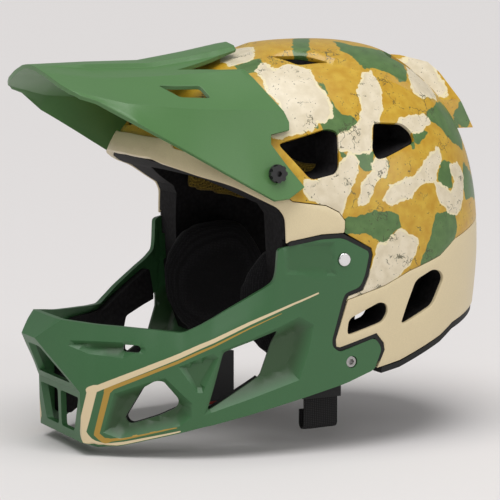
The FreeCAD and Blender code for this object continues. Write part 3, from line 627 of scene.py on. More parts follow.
def printed_coat():
    material, tree, shader, place = coat("camouflage_print", (0.54, 0.33, 0.02), 0.42, coat_weight=0.25,
                                         coat_roughness=0.25)
    coarse = noise(tree, place, 150.0, 3.0)
    fine = noise(tree, place, 700.0)
    ragged = sums(tree, "MULTIPLY", sums(tree, "SUBTRACT", coarse, 0.5), 5.0)
    cream_gap = node(tree, "ShaderNodeAttribute", attribute_name="cream").outputs["Fac"]
    green_gap = node(tree, "ShaderNodeAttribute", attribute_name="green").outputs["Fac"]
    cream_gap = sums(tree, "ADD", cream_gap, ragged)
    green_gap = sums(tree, "ADD", green_gap, ragged)
    ochre = blend_colour(tree, soft_step(tree, coarse, 0.3, 0.7), (0.50, 0.27, 0.008), (0.60, 0.38, 0.03))
    green = blend_colour(tree, soft_step(tree, coarse, 0.3, 0.7), (0.06, 0.135, 0.03), (0.095, 0.19, 0.05))
    cream = blend_colour(tree, soft_step(tree, coarse, 0.35, 0.65), (0.66, 0.57, 0.40), (0.76, 0.67, 0.50))
    colour = blend_colour(tree, soft_step(tree, green_gap, -0.15, 0.15), ochre, green)
    colour = blend_colour(tree, soft_step(tree, cream_gap, -1.15, -0.85), colour, (0.79, 0.70, 0.45))
    colour = blend_colour(tree, soft_step(tree, cream_gap, -0.15, 0.15), colour, cream)
    # worn specks and cracks in the print
    bent = node(tree, "ShaderNodeVectorMath", operation="MULTIPLY_ADD")
    wave = node(tree, "ShaderNodeTexNoise", Vector_in=place, Scale_in=260.0, Detail_in=3.0)
    tree.links.new(wave.outputs["Color"], bent.inputs[0])
    bent.inputs[1].default_value = (0.012, 0.012, 0.012)
    tree.links.new(place, bent.inputs[2])
    cells = node(tree, "ShaderNodeTexVoronoi", feature="DISTANCE_TO_EDGE", Vector_in=bent.outputs[0], Scale_in=95.0)
    cracks = soft_step(tree, cells.outputs["Distance"], 0.035, 0.02)
    where = soft_step(tree, noise(tree, place, 60.0), 0.56, 0.6)
    cracks = sums(tree, "MULTIPLY", cracks, where)
    specks = sums(tree, "MULTIPLY", soft_step(tree, fine, 0.66, 0.69), soft_step(tree, coarse, 0.5, 0.55))
    marks = sums(tree, "MAXIMUM", cracks, specks)
    colour = blend_colour(tree, sums(tree, "MULTIPLY", marks, 0.85), colour, (0.045, 0.05, 0.015))
    tree.links.new(colour, shader.inputs["Base Color"])
    raised(tree, shader, noise(tree, place, 900.0, 1.0), 0.12, 0.0003)
    tree.links.new(sums(tree, "ADD", sums(tree, "MULTIPLY", coarse, 0.16), 0.34), shader.inputs["Roughness"])
    return material


add_print(upper)
camouflage = printed_coat()
upper.data.materials.append(camouflage)

# ---- Lower shell ----------------------------------------------------------------------------
# Plain cream shell: the brow band over the face, its arms, the prongs between the chin bar's lugs and the
# back of the neck. One moulding on each side of a single piece, bonded to the foam.
brow_edge = [(-118, 78.5), (-107, 73.6), (-98, 69.7), (-83, 65), (-67, 56), (-56, 50), (-52.5, 44), (-52.3, 27)]
bottom_edge = [(14.6, -59.4), (32, -55.5), (67, -42.3), (80, -35), (110, -28), (124, -27)]
JOINT = 0.5               # gap between the two shells along their joint
brow_middle = 80.5
brow_side = side_run(soften(brow_edge, 9, 4, False))
brow_back = side_run([(-52.3, 28), (-29, 32.4), (-13.2, 32.8)], LUG_STEP)
split_up = [side_map(y, z - JOINT) for y, z in spread(list(reversed(front_split))[0:-1], SIDE_STEP, False)]
brow_front = front_hole([(x, brow_middle - 0.03 * x, -FORM_FRONT) for x in (0, 8, 16, 24, 32)])
split_front = front_hole([(x, front_middle_split - JOINT - 0.03 * x, -FORM_FRONT) for x in (40, 32, 24, 16, 8, 0)])
brow_left = brow_front + brow_side[1:] + brow_back[1:] + split_up[1:] + split_front
brow_outline = brow_left + mirror_side(brow_left[1:-1])


def plain_place(wall, lip=0.0):
    def place(u, v):
        p, n = form_point(u, v), form_normal(u, v)
        out = lip * clamped((-p.y - 70) / 50)
        return p + n * out, p - n * wall
    return place


brow = sheet_mesh("brow_band", brow_outline, [], [], plain_place(2.4, 3.5), 0.022, 0.8)
nape_left = side_run([(-10.2, -12)] + chin_lug_gap[9:], LUG_STEP) + side_run(bottom_edge)[1:]
nape_left += front_hole([(x, -27, FORM_BACK) for x in (40, 28, 14, 0)])
split_back = [side_map(y, z - 0.6) for y, z in spread(list(reversed(rear_split)), SIDE_STEP, False)]
nape_back = front_hole([(x, rear_middle_split - 0.6 - 0.02 * x, FORM_BACK) for x in (0, 14, 28, 40, 52)])
nape_outline = (nape_left + mirror_side(nape_left)[1:] + mirror_side(split_back) + mirror_side(nape_back)[0:-1] +
                nape_back + split_back)
nape = sheet_mesh("nape_shell", nape_outline, vent_holes(("ear", "nape")), [], plain_place(2.4), 0.022, 0.8)
for piece in (brow, nape):
    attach(piece, "shell")
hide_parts("lower_shell")


def moulded(name, colour, roughness=0.45, mark=0.06):
    """Moulded plastic: faint mottling, fine grain and slightly uneven gloss."""
    material, tree, shader, place = coat(name, colour, roughness)
    broad = noise(tree, place, 35.0, 4.0)
    grain = noise(tree, place, 1600.0)
    shade = blend_colour(tree, broad, [c * (1 - mark) for c in colour], [min(1, c * (1 + mark)) for c in colour])
    shade = blend_colour(tree, soft_step(tree, grain, 0.25, 0.75), shade, [c * 0.9 for c in colour])
    tree.links.new(shade, shader.inputs["Base Color"])
    raised(tree, shader, grain, 0.2, 0.0002)
    gloss = sums(tree, "ADD", sums(tree, "MULTIPLY", broad, 0.15), roughness - 0.07)
    tree.links.new(gloss, shader.inputs["Roughness"])
    return material, tree, shader, shade


cream_plastic = moulded("cream_plastic", (0.74, 0.62, 0.39), 0.42)[0]
for piece in (brow, nape):
    piece.data.materials.append(cream_plastic)

# ---- Visor ----------------------------------------------------------------------------------
# Thin moulded green peak with a raised middle rib, a flat top panel, a crease and side wings that reach down
# to the thumb screws. Trimmed to its outline, then given its 3 mm thickness and soft edges.
visor_rows = [
    (-196, [(0, 141.6), (10, 140.8), (25, 137), (50, 129.5), (62, 124)]),
    (-150, [(0, 142.6), (12, 141.8), (38, 136), (72, 121.5), (83, 109.5)]),
    (-110, [(0, 142.8), (14, 141.5), (43, 137), (79, 117.5), (93, 84)]),
    (-75, [(0, 148.6), (16, 146.5), (50, 139), (82.5, 116), (100, 62)]),
    (-30, [(0, 156.5), (16, 155), (56, 141), (86, 114), (108.5, 54)]),
]
visor_marks = [0.0, 14.0, 43.4, 84.4, 120.7]     # places of those lines on the flat sheet
RIB_STEP = 2.6            # height of the middle rib over the top panel


def visor_row(y):
    y = max(-196.0, min(-30.0, y))
    for (ya, a), (yb, b) in zip(visor_rows, visor_rows[1:]):
        if y <= yb:
            k = (y - ya) / (yb - ya)
            return [(p[0] + (q[0] - p[0]) * k, p[1] + (q[1] - p[1]) * k) for p, q in zip(a, b)]


def visor_point(w, y):
    row = visor_row(y)
    side = -1 if w < 0 else 1
    w = abs(w)
    for i in range(4):
        if w <= visor_marks[i + 1] or i == 3:
            k = (w - visor_marks[i]) / (visor_marks[i + 1] - visor_marks[i])
            x = row[i][0] + (row[i + 1][0] - row[i][0]) * k
            z = row[i][1] + (row[i + 1][1] - row[i][1]) * k
            break
    fall = clamped((w - 15.0) / 2.0) * clamped((y + 182) / 30) * RIB_STEP
    return Vector((side * x, y, z - fall))


def visor_map(y, x=None, z=None):
    """Flat place on row y where the sheet has this x or this z."""
    row = visor_row(y)
    for i in range(4):
        a, b = row[i], row[i + 1]
        if x is not None and (x <= b[0] or i == 3):
            k = (x - a[0]) / (b[0] - a[0])
        elif z is not None and (z >= b[1] or i == 3):
            k = (z - a[1]) / (b[1] - a[1])
        else:
            continue
        return (visor_marks[i] + k * (visor_marks[i + 1] - visor_marks[i]), y)


def visor_place(wall):
    def place(w, y):
        p = visor_point(w, y)
        du = visor_point(w + 0.4, y) - visor_point(w - 0.4, y)
        dv = visor_point(w, y + 0.4) - visor_point(w, y - 0.4)
        n = du.cross(dv).normalized()
        return p, p - n * wall
    return place


VISOR_STEP = 5.0
front_edge = [(0, -190.5), (12, -190), (30, -188.5), (45, -186.5), (55, -183.5), (61, -179), (66, -170)]
wing_edge = [(-149, 110), (-62, 58.5), (-52, 59.5), (-40.6, 66.4), (-50.8, 81), (-59, 94), (-58, 100),
             (-44.8, 102.4), (-44, 107.4), (-46.4, 114.2), (-50.7, 123.5), (-55.3, 134.5)]
rear_edge = [(50, -58), (46, -72), (32, -98), (20, -62), (19, -48), (0, -46)]
visor_left = [visor_map(y, x=x) for x, y in spread(front_edge, VISOR_STEP, False)]
visor_left += [visor_map(y, z=z) for y, z in spread(wing_edge, VISOR_STEP, False)]
visor_left += [visor_map(y, x=x) for x, y in spread(rear_edge, VISOR_STEP, False)]
visor_outline = visor_left + mirror_side(visor_left[1:-1])
slot_loop = [visor_map(y, x=x) for x, y in spread(soften([(52, -121), (66, -112), (70, -92), (58, -94)], 2.0),
                                                 VISOR_STEP)]
visor_holes = [slot_loop, mirror_side(slot_loop)]
visor_lines = []
for mark in (15.0, 17.0, 43.4, 84.4):
    run = [(mark, y) for y in range(-186, -40, 5) if outline_gap((mark, y), visor_outline) > 1.2]
    visor_lines += [run, mirror_side(run)]
visor = sheet_mesh("visor_peak", visor_outline, visor_holes, visor_lines, visor_place(3.0), 4.0, 0.9, 40.0,
                   12.0)
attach(visor, "visor")
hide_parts("visor")
visor_plastic = moulded("visor_plastic", (0.082, 0.20, 0.062), 0.36)[0]
visor.data.materials.append(visor_plastic)

# ---- Chin bar -------------------------------------------------------------------------------
# Moulded green bar that lugs over both sides of the shell and slides off forwards. A crease runs from the
# lugs to the mouth, the faces above it lean in, and the windows sit in sloping recesses. Cream and ochre
# stripes are painted along the crease and round the front. Height and length along its outer plan are the
# flat sheet here.
chin_plan = [(0, -192.6), (11.7, -192.6), (38.1, -168.7), (60, -141), (76, -119.5), (87, -99), (94.5, -75),
             (100.4, -43), (104, -8), (104.5, 30)]
chin_reach = [0.0]
for (xa, ya), (xb, yb) in zip(chin_plan, chin_plan[1:]):
    chin_reach.append(chin_reach[-1] + math.hypot(xb - xa, yb - ya))
chin_front = [(-110, -156), (-107.5, -160), (-105.6, -170), (-71, -171), (-37, -192.6), (-24, -180)]
chin_side = [(-180, -24), (-165, -27), (-131, -30), (-117, -31), (-107, -26), (-92, -17), (-66, -2.4), (-60, 2),
             (-58.5, 8), (-57.5, 23.5), (-52.3, 24.9), (-29, 29.2), (-14.6, 29.5), (3.5, 20.1), (4.3, 17.5),
             (1.5, 4.4), (-1.8, -3.4), (-12.1, -6.9), (-14, -11.5), (-19.9, -38.1), (-19.6, -42.2), (-14.7, -46.5),
             (11.2, -38.6), (15.4, -43.7), (16.4, -47.2), (11.4, -59.9), (-10.8, -67.7), (-106, -92), (-150, -105.5),
             (-160, -107.5)]


def along(table, value):
    if value <= table[0][0]:
        return table[0][1]
    for (a, p), (b, q) in zip(table, table[1:]):
        if value <= b:
            return p + (q - p) * (value - a) / (b - a)
    return table[-1][1]


def chin_u(y):
    """Length along the plan at this distance from front to back."""
    return along([(q[1], r) for q, r in zip(chin_plan[1:], chin_reach[1:])], y)


def chin_spot(points):
    return [(chin_u(y), z) for y, z in points]


def chin_base(u):
    side, u = (-1 if u < 0 else 1), abs(u)
    for k in range(1, len(chin_plan)):
        if u <= chin_reach[k] or k == len(chin_plan) - 1:
            t = (u - chin_reach[k - 1]) / (chin_reach[k] - chin_reach[k - 1])
            a, b = Vector(chin_plan[k - 1]), Vector(chin_plan[k])
            normals = []
            for j in (k - 1, k):
                before = Vector(chin_plan[j]) - Vector(chin_plan[j - 1]) if j > 0 else Vector((1, 0))
                after = Vector(chin_plan[j + 1]) - Vector(chin_plan[j]) if j < len(chin_plan) - 1 else before
                run = before.normalized() + after.normalized()
                normals.append(Vector((run.y, -run.x)).normalized())
            p, n = a.lerp(b, t), normals[0].lerp(normals[1], t).normalized()
            return side * p.x, p.y, side * n.x, n.y


crease_line = [(-164, -67.7), (-149, -60), (-127, -48.5), (-106, -37.5), (-76, -23), (-43, -10), (-29, -4.8)]
top_line = chin_side[:9]
top_lean = [(-180, 3.5), (-165, 7), (-150, 8.5), (-131, 9), (-111, 6), (-92, 5.5), (-71, 4.5), (-61, 2), (-58, 0)]
chin_pockets = [   # rim on the (y, z) side view, deepest floor, width of the sloping wall
    ([(-159, -97), (-153, -71), (-131, -61), (-126, -59.5), (-111, -76), (-111.5, -85), (-118, -91), (-150, -101)],
     6.5, 7.0),
    ([(-119, -52), (-99, -43), (-95.5, -46), (-105, -69), (-108, -69)], 2.2, 1.6),
    ([(-104.5, -84), (-94, -41.5), (-57, -27.5), (-43, -21), (-33, -27), (-36, -43), (-43, -63), (-100, -82)],
     6.5, 9.0),
    ([(-184, -37), (-150, -38), (-134, -41.5), (-149, -48), (-167, -46)], 4.0, 3.5),
    ([(-54, 27), (-20, 27.5), (-18.5, 5), (-53, 7)], 1.3, 1.4),
]
chin_windows = [
    [(-149, -88), (-139, -67.5), (-131.5, -61.8), (-127.5, -61.8), (-119, -74), (-120.5, -80), (-131, -86),
     (-146, -92)],
    [(-102.6, -81), (-92.5, -42.5), (-57, -29.5), (-68, -60)],
    [(-150, -39.5), (-140, -39.5), (-140, -44.5), (-150, -44.5)],
]
chin_rims = [chin_spot(rim) for rim, _, _ in chin_pockets]


def chin_depths(u, z):
    """How far the face leans in, and how deep it is recessed on top of that."""
    y = chin_base(u)[1]
    lean = 0.0
    if y < -58:
        low, top = along(crease_line, y), along(top_line, max(y, -180))
        lean = along(top_lean, y) * clamped((z - low) / (top - low))
        if y < -170:
            lean *= clamped((y + 186) / 16)
    pocket = 0.0
    for rim, (_, depth, slope) in zip(chin_rims, chin_pockets):
        gap = outline_gap((abs(u), z), rim)
        if gap > 0:
            pocket = max(pocket, depth * min(1.0, gap / slope))
    return lean, pocket


def chin_skin(u, z, depth):
    x, y, nx, ny = chin_base(u)
    if y > -58:
        x = math.copysign(max(abs(x), form_x(y, z)), x)
    x, y = x - nx * depth, y - ny * depth
    return Vector((x, max(y, along(chin_front, z) + min(depth, 4.0)), z))


def chin_place(u, z):
    lean, pocket = chin_depths(u, z)
    wall = 4.0 if chin_base(u)[1] < -55 else 3.0
    return chin_skin(u, z, lean + pocket), chin_skin(u, z, lean + max(wall, pocket + 1.8))


CHIN_STEP = 4.0
chin_edge = spread(soften(chin_side[:-1], 3.0, 3, False), CHIN_STEP, False)
chin_left = [(u, -24.0) for u in (0, 5, 10, 15, 20)] + chin_spot(chin_edge)
chin_left += [(chin_u(-165), -107.3), (chin_u(-172), -107.3), (24, -107.3), (16, -107.3), (8, -107.3), (0, -107.3)]
chin_outline = chin_left + mirror_side(chin_left[1:-1])
chin_holes = []
for window in chin_windows:
    loop = chin_spot(spread(soften(window, 2.5), CHIN_STEP))
    chin_holes += [loop, mirror_side(loop)]


def chin_x(points):
    """Front view (x, z) to the flat sheet."""
    return [(along(list(zip([p[0] for p in chin_plan], chin_reach)), abs(x)) * (1 if x >= 0 else -1), z)
            for x, z in points]


for y, z, radius in ((-13.6, 15.4, 4.6), (-5.7, -53.5, 4.1)):     # release button and lock screw
    loop = [(chin_u(y) + radius * math.cos(math.radians(a)), z + radius * math.sin(math.radians(a)))
            for a in range(0, 360, 15)]
    chin_holes += [loop, mirror_side(loop)]
chin_holes.append(chin_x(spread(soften([(-10, -43), (10, -43), (28, -66), (-28, -66)], 2.5), CHIN_STEP)))
lower_mouth = chin_x(spread(soften([(2.5, -75), (33, -75), (24, -99), (2.5, -99)], 2.5), CHIN_STEP))
chin_holes += [lower_mouth, mirror_side(lower_mouth)]
# stripes: middle line on the side view, half width at its start and end
cream_stripes = [([(-166.5, -69.2), (-163, -68.5), (-149, -61), (-127, -49.5), (-106, -38.5), (-76, -24),
                   (-43, -11), (-31, -6)], 2.0, 0.5),
                 ([(-164.5, -69), (-170.5, -98), (-168, -102)], 3.2, 3.2),
                 ([(-168, -102.5), (-158, -105.5), (-148, -103.5), (-118, -94.5)], 1.3, 0.4)]
ochre_stripes = [([(-157.5, -69), (-149, -64.5), (-127, -53), (-106, -42), (-76, -27.2), (-55, -18.5)], 1.3, 0.15),
                 ([(-156.5, -69.5), (-162.5, -98.5), (-158, -103)], 2.0, 1.8),
                 ([(-158, -102.5), (-148, -100.5), (-120, -92)], 1.0, 0.3)]
cream_runs = [(chin_spot(spread(p, CHIN_STEP, False)), a, b) for p, a, b in cream_stripes]
ochre_runs = [(chin_spot(spread(p, CHIN_STEP, False)), a, b) for p, a, b in ochre_stripes]
chin_lines = []
bend_levels = (-100, -94, -88, -82, -76, -71, -66, -61, -56, -51, -46, -41, -37, -33, -29, -26)
chin_bend = [(chin_u(along(chin_front, z)), z) for z in bend_levels]
nose_creases = [[(u, -37.0) for u in (1, 5, 9)], [(u, -71.0) for u in (2, 10, 18, 26, 33)]]
for run in [r[0] for r in cream_runs + ochre_runs] + [chin_bend] + nose_creases:
    chin_lines += [run, mirror_side(run)]
for rim in chin_rims:
    loop = spread(rim, CHIN_STEP)
    chin_lines += [loop + loop[:1], mirror_side(loop + loop[:1])]


def line_gap(point, run):
    return min((edge_gap(point, a, b), k) for k, (a, b) in enumerate(zip(run, run[1:])))


def off_edges(p):
    """True where a crease line stays off the outline and the windows."""
    return outline_gap(p, chin_outline) > 1.0 and all(outline_gap(p, h) < -1.0 for h in chin_holes)


def paint_chin(thing):
    """Distances to the stripes' edges, and how deep each point lies in a recess, for painted shade that darkens the
    recesses.
    """
    layers = {"cream": [], "ochre": [], "painted_recess_shade": []}
    widths = list(zip([p[0] for p in chin_plan], chin_reach))
    for vertex in thing.data.vertices:
        x, y, z = vertex.co / MM
        u = along(widths, abs(x)) if abs(x) < 42 else chin_u(y)
        outside = (chin_skin(math.copysign(u, x), z, 0) - Vector((x, y, z))).length < 2.4
        for name, runs in (("cream", cream_runs), ("ochre", ochre_runs)):
            best = -9.0
            for run, start, end in runs:
                gap, k = line_gap((u, z), run)
                share = k / (len(run) - 1)
                best = max(best, start + (end - start) * share - gap)
            layers[name].append(best if outside else -9.0)
        # recess depth, kept to darken the colour there as painted shade
        layers["painted_recess_shade"].append(chin_depths(u, z)[1] if y < -20 else 0.0)
    for name, values in layers.items():
        layer = thing.data.attributes.new(name, "FLOAT", "POINT")
        layer.data.foreach_set("value", values)


chin = sheet_mesh("chin_bar_skin", chin_outline, chin_holes, clear_runs(chin_lines, off_edges), chin_place, 3.0, 0.8,
                  40.0, 21.0)
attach(chin, "chin_bar")
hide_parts("chin_bar_shell")
paint_chin(chin)
chin_plastic, tree, shader, shade = moulded("chin_plastic", (0.042, 0.135, 0.048), 0.40)
# painted shade: the recesses get a darker colour, more so where they are deeper
painted_recess_shade = node(tree, "ShaderNodeAttribute", attribute_name="painted_recess_shade").outputs["Fac"]
shade = blend_colour(tree, soft_step(tree, painted_recess_shade, 0.3, 4.5), shade, (0.028, 0.07, 0.024))
for name, colour in (("ochre", (0.42, 0.25, 0.035)), ("cream", (0.72, 0.58, 0.36))):
    gap = node(tree, "ShaderNodeAttribute", attribute_name=name).outputs["Fac"]
    shade = blend_colour(tree, soft_step(tree, gap, -0.12, 0.12), shade, colour)
tree.links.new(shade, shader.inputs["Base Color"])
chin.data.materials.append(chin_plastic)

# ---- Chin bar linings -----------------------------------------------------------------------
# Black bead foam bonded inside each side of the chin bar, cut away at the windows.
lining_edge = [(-160, -39), (-152, -34.5), (-117, -35.5), (-104, -29), (-70, -10), (-66, -30), (-71, -76),
               (-106, -86), (-156, -100.5), (-160, -97)]


def lining_place(side):
    def place(u, z):
        lean, pocket = chin_depths(u, z)
        start = lean + max(4.0, pocket + 1.8) + 0.35
        return chin_skin(side * u, z, start), chin_skin(side * u, z, max(13.5, start + 3.0))
    return place


for side, name in ((1, "left"), (-1, "right")):
    holes = [chin_spot(spread(soften(w, 2.5), CHIN_STEP)) for w in chin_windows]
    lining = sheet_mesh("chin_lining_" + name, chin_spot(spread(soften(lining_edge, 3.0), CHIN_STEP)), holes, [],
                        lining_place(side), 4.0, 0.7)
    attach(lining, "chin_bar")
    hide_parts("chin_bar_liner_" + name)
    lining.data.materials.append(black_foam)

# ---- Rear cover -----------------------------------------------------------------------------
# Raised printed cover at the back of the crown, over the air outlets. It keeps its built shape.


def printed_cover():
    material = camouflage.copy()
    material.name = "cover_print"
    tree = material.node_tree
    place = node(tree, "ShaderNodeTexCoord").outputs["Object"]
    for name, offset, low in (("cream", (0.031, 0.012, 0.0), 0.56), ("green", (0.0, 0.0, 0.07), 0.55)):
        shift = node(tree, "ShaderNodeVectorMath", operation="ADD")
        tree.links.new(place, shift.inputs[0])
        shift.inputs[1].default_value = offset
        patches = node(tree, "ShaderNodeTexNoise", Vector_in=shift.outputs[0], Scale_in=26.0, Detail_in=1.0)
        gap = node(tree, "ShaderNodeMapRange", Value_in=patches.outputs["Fac"], from_min_in=low - 0.1,
                   from_max_in=low + 0.1, to_min_in=-4.0, to_max_in=4.0).outputs["Result"]
        for made in tree.nodes:
            if made.bl_idname == "ShaderNodeAttribute" and made.attribute_name == name:
                for link in list(made.outputs["Fac"].links):
                    tree.links.new(gap, link.to_socket)
    return material


finish("rear_cover", printed_cover())

# ---- Trim, seals and hardware ---------------------------------------------------------------
# Black rubber edging, moulded black plastic parts, plated steel fixings and polished buttons.


def rubber(name, colour=(0.012, 0.012, 0.012)):
    material, tree, shader, place = coat(name, colour, 0.62, specular_ior_level=0.3)
    grain = noise(tree, place, 900.0, 3.0)
    shade = blend_colour(tree, grain, [c * 0.6 for c in colour], [c * 1.8 for c in colour])
    tree.links.new(shade, shader.inputs["Base Color"])
    raised(tree, shader, grain, 0.3, 0.0003)
    return material


def metal(name, colour, roughness, scratch=0.12):
    material, tree, shader, place = coat(name, colour, roughness, metallic=1.0)
    stretch = node(tree, "ShaderNodeMapping", Vector_in=place, Scale_in=(1.0, 1.0, 9.0))
    lines = noise(tree, stretch.outputs[0], 420.0, 4.0)
    shade = blend_colour(tree, lines, [c * 0.8 for c in colour], colour)
    tree.links.new(shade, shader.inputs["Base Color"])
    tree.links.new(sums(tree, "ADD", sums(tree, "MULTIPLY", lines, scratch * 2), roughness - scratch),
                   shader.inputs["Roughness"])
    raised(tree, shader, lines, 0.1, 0.0001)
    return material


edge_rubber = rubber("edge_rubber")
for name in ("neck_trim", "chin_seal_left", "chin_seal_right", "strap_keeper"):
    finish(name, edge_rubber)
black_nylon = moulded("black_nylon", (0.016, 0.016, 0.017), 0.38, 0.3)[0]
for name in ("visor_knob_left", "visor_knob_right", "visor_washer_left", "visor_washer_right", "buckle_case",
             "buckle_tongue", "cheek_studs_left", "cheek_studs_right"):
    finish(name, black_nylon)
polished = metal("polished_chrome", (0.80, 0.80, 0.80), 0.16, 0.05)
plated = metal("plated_steel", (0.47, 0.46, 0.45), 0.36)
turned_brass = metal("turned_brass", (0.62, 0.45, 0.20), 0.34)
for name in ("release_button_left", "release_button_right"):
    finish(name, polished)
for name in ("buckle_pin", "catch_clip_left", "catch_clip_right", "lock_screw_left", "lock_screw_right",
             "strap_anchor_left", "strap_anchor_right"):
    finish(name, plated)
for name in ("visor_insert_left", "visor_insert_right"):
    finish(name, turned_brass)
finish("buckle_lever", moulded("release_red", (0.42, 0.03, 0.02), 0.3)[0])

# ---- Pads -----------------------------------------------------------------------------------
# Soft foam pads under brushed black knit, held to the liner by hook patches: crown, brow, nape, cheeks and
# chin, and two temple pads under open ochre mesh. Each is swelled as cloth under pressure, then smoothed.


def knit(name, colour, cell=0.0011, gloss=0.85, mesh_holes=False):
    """Knitted cover: rows of small loops, with the tone of each a little different."""
    material, tree, shader, place = coat(name, colour, gloss, specular_ior_level=0.2, sheen_weight=0.05)
    loops = node(tree, "ShaderNodeTexVoronoi", Vector_in=place, Scale_in=1.0 / cell, Randomness_in=0.25)
    broad = noise(tree, place, 45.0, 4.0)
    between = soft_step(tree, loops.outputs["Distance"], 0.1, 0.55)
    shade = blend_colour(tree, between, [min(1, c * 1.6) for c in colour], [c * 0.35 for c in colour])
    if mesh_holes:
        gaps = node(tree, "ShaderNodeTexVoronoi", Vector_in=place, Scale_in=420.0, Randomness_in=0.1)
        shade = blend_colour(tree, soft_step(tree, gaps.outputs["Distance"], 0.30, 0.24), shade, (0.01, 0.008, 0.003))
    shade = blend_colour(tree, sums(tree, "MULTIPLY", broad, 0.35), shade, [c * 0.4 for c in colour])
    tree.links.new(shade, shader.inputs["Base Color"])
    raised(tree, shader, loops.outputs["Distance"], 0.5, 0.0005, True)
    return material


SWELL_FRAMES = 20


def applied(thing, name, kind, **values):
    """Add a modifier with these settings and make it part of the mesh."""
    made = thing.modifiers.new(name, kind)
    for key, value in values.items():
        setattr(made, key, value)
    bpy.ops.object.modifier_apply(modifier=name)


def swell(name, source, voxel, limit, pressure=4.0):
    """A pad the shape of its built stand-in, puffed up as closed cloth and smoothed."""
    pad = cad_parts[source].copy()
    pad.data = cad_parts[source].data.copy()
    pad.parent = None
    for key in list(pad.keys()):
        del pad[key]
    pad.name = name
    pad.data.materials.clear()
    scene.collection.objects.link(pad)
    for other in list(bpy.context.selected_objects):
        other.select_set(False)
    pad.select_set(True)
    bpy.context.view_layer.objects.active = pad
    applied(pad, "even", "REMESH", mode="VOXEL", voxel_size=voxel * MM)
    mesh = pad.data
    mesh.update()
    normals = [v.normal.copy() for v in mesh.vertices]
    for vertex, normal in zip(mesh.vertices, normals):
        vertex.co -= normal * (0.45 * limit * MM)
    rest = [v.co.copy() for v in mesh.vertices]
    cloth = pad.modifiers.new("cloth", "CLOTH")
    cloth.settings.use_pressure = True
    cloth.settings.uniform_pressure_force = pressure
    cloth.settings.effector_weights.gravity = 0.0
    cloth.settings.quality = 4
    cloth.point_cache.frame_start = 1
    cloth.point_cache.frame_end = SWELL_FRAMES
    for number in range(1, SWELL_FRAMES + 1):
        scene.frame_set(number)
    bpy.ops.object.modifier_apply(modifier="cloth")
    scene.frame_set(1)
    for vertex, start in zip(pad.data.vertices, rest):
        move = vertex.co - start
        if move.length > limit * MM:
            vertex.co = start + move.normalized() * (limit * MM)
    pad.data.materials.clear()
    applied(pad, "smooth", "CORRECTIVE_SMOOTH", factor=0.5, iterations=4, use_only_smooth=True)
    applied(pad, "finer", "SUBSURF", levels=1)
    for polygon in pad.data.polygons:
        polygon.use_smooth = True
    return pad


def other_side(pad, name):
    twin = pad.copy()
    twin.data = pad.data.copy()
    twin.name = name
    for vertex in twin.data.vertices:
        vertex.co.x = -vertex.co.x
    twin.data.flip_normals()
    scene.collection.objects.link(twin)
    return twin


black_knit = knit("black_knit", (0.017, 0.016, 0.018))
ochre_mesh = knit("ochre_mesh", (0.30, 0.20, 0.025), mesh_holes=True)
for source, voxel, limit, body, cover, slot_name in (
        ("crown_pad", 4.5, 2.0, "shell", black_knit, "pad_fabric"),
        ("brow_pad", 4.0, 1.8, "shell", black_knit, "pad_fabric"),
        ("nape_pad", 4.5, 2.0, "shell", black_knit, "pad_fabric"),
        ("chin_pad", 4.0, 1.8, "chin_bar", black_knit, "pad_fabric"),
        ("temple_pad_left", 4.0, 1.5, "shell", ochre_mesh, "ochre_mesh"),
        ("cheek_pad_left", 4.5, 3.0, "shell", black_knit, "pad_fabric")):
    pad = swell(source.replace("_left", "") + "_cover", source, voxel, limit)
    pieces = [(pad, source)]
    if source.endswith("_left"):
        pad.name = source.replace("_left", "_cover_left")
        twin = other_side(pad, source.replace("_left", "_cover_right"))
        pieces.append((twin, source.replace("_left", "_right")))
    for thing, node_name in pieces:
        thing.data.materials.append(cover)
        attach(thing, body)
        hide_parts(node_name)

# ---- Chin strap -----------------------------------------------------------------------------
# Two lengths of 25 mm black nylon webbing, riveted to the liner. The left one folds back up on itself
# through its band, and the right one ends in the buckle.
WEB_MIDDLE_Y, WEB_HALF, WEB_THICK = -16.5, 12.5, 1.6


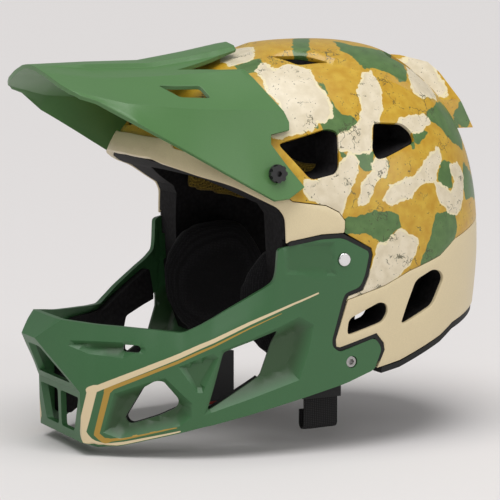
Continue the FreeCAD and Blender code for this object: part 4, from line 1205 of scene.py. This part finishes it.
def webbing_piece(name, path, ripple):
    """Ribbon along an (x, z) path, with rounded selvedges and a slight ripple across it."""
    shape = bmesh.new()
    section = []
    for k in range(13):
        t = -1 + 2 * k / 12
        section.append((t * WEB_HALF, WEB_THICK / 2 * (1.0 if abs(t) < 0.9 else 0.72)))
    ring = section + [(a, -b) for a, b in reversed(section)]
    rows = []
    points = [Vector(p) for p in path]
    for k, point in enumerate(points):
        run = (points[min(k + 1, len(points) - 1)] - points[max(k - 1, 0)]).normalized()
        out = Vector((run.y, -run.x))
        row = []
        for across, depth in ring:
            wave = ripple * math.sin(k * 0.21 + across * 0.18) * math.cos(across * 0.12)
            spot = point + out * (depth + wave)
            row.append(shape.verts.new((spot.x * MM, (WEB_MIDDLE_Y + across) * MM, spot.y * MM)))
        rows.append(row)
    count = len(ring)
    for a, b in zip(rows, rows[1:]):
        for k in range(count):
            shape.faces.new((a[k], a[(k + 1) % count], b[(k + 1) % count], b[k]))
    shape.faces.new(list(reversed(rows[0])))
    shape.faces.new(rows[-1])
    thing = link_mesh(name, shape)
    shade_smooth(thing, 50)
    return thing


def woven_nylon():
    material, tree, shader, place = coat("woven_nylon", (0.013, 0.012, 0.013), 0.7, specular_ior_level=0.2)
    weft = node(tree, "ShaderNodeTexWave", bands_direction="Z", Vector_in=place, Scale_in=260.0, Distortion_in=0.4)
    warp = node(tree, "ShaderNodeTexWave", bands_direction="Y", Vector_in=place, Scale_in=190.0, Distortion_in=0.4)
    threads = sums(tree, "MULTIPLY", weft.outputs["Fac"], warp.outputs["Fac"])
    shade = blend_colour(tree, threads, (0.006, 0.006, 0.006), (0.034, 0.032, 0.034))
    tree.links.new(shade, shader.inputs["Base Color"])
    raised(tree, shader, threads, 0.5, 0.0005)
    return material


nylon = woven_nylon()
STRAP_X, STRAP_TOP, STRAP_LOW, FOLD_BACK = 80.8, -20.5, -100.5, 3.3
turn_height = STRAP_LOW + FOLD_BACK
left_path = [(STRAP_X, STRAP_TOP - 1.5 * k) for k in range(int((STRAP_TOP - turn_height) / 1.5) + 1)]
left_path += [(STRAP_X - FOLD_BACK + FOLD_BACK * math.cos(math.radians(-a)),
               turn_height + FOLD_BACK * math.sin(math.radians(-a))) for a in range(0, 181, 15)]
left_path += [(STRAP_X - 2 * FOLD_BACK, turn_height + 1.5 * k) for k in range(1, 7)]
left_web = webbing_piece("webbing_left", left_path, 0.18)
right_path = [(-STRAP_X, STRAP_TOP - 1.5 * k) for k in range(36)]
right_web = webbing_piece("webbing_right", right_path, 0.18)
for thing, name in ((left_web, "strap_left"), (right_web, "strap_right")):
    thing.data.materials.append(nylon)
    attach(thing, "shell")
    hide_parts(name)
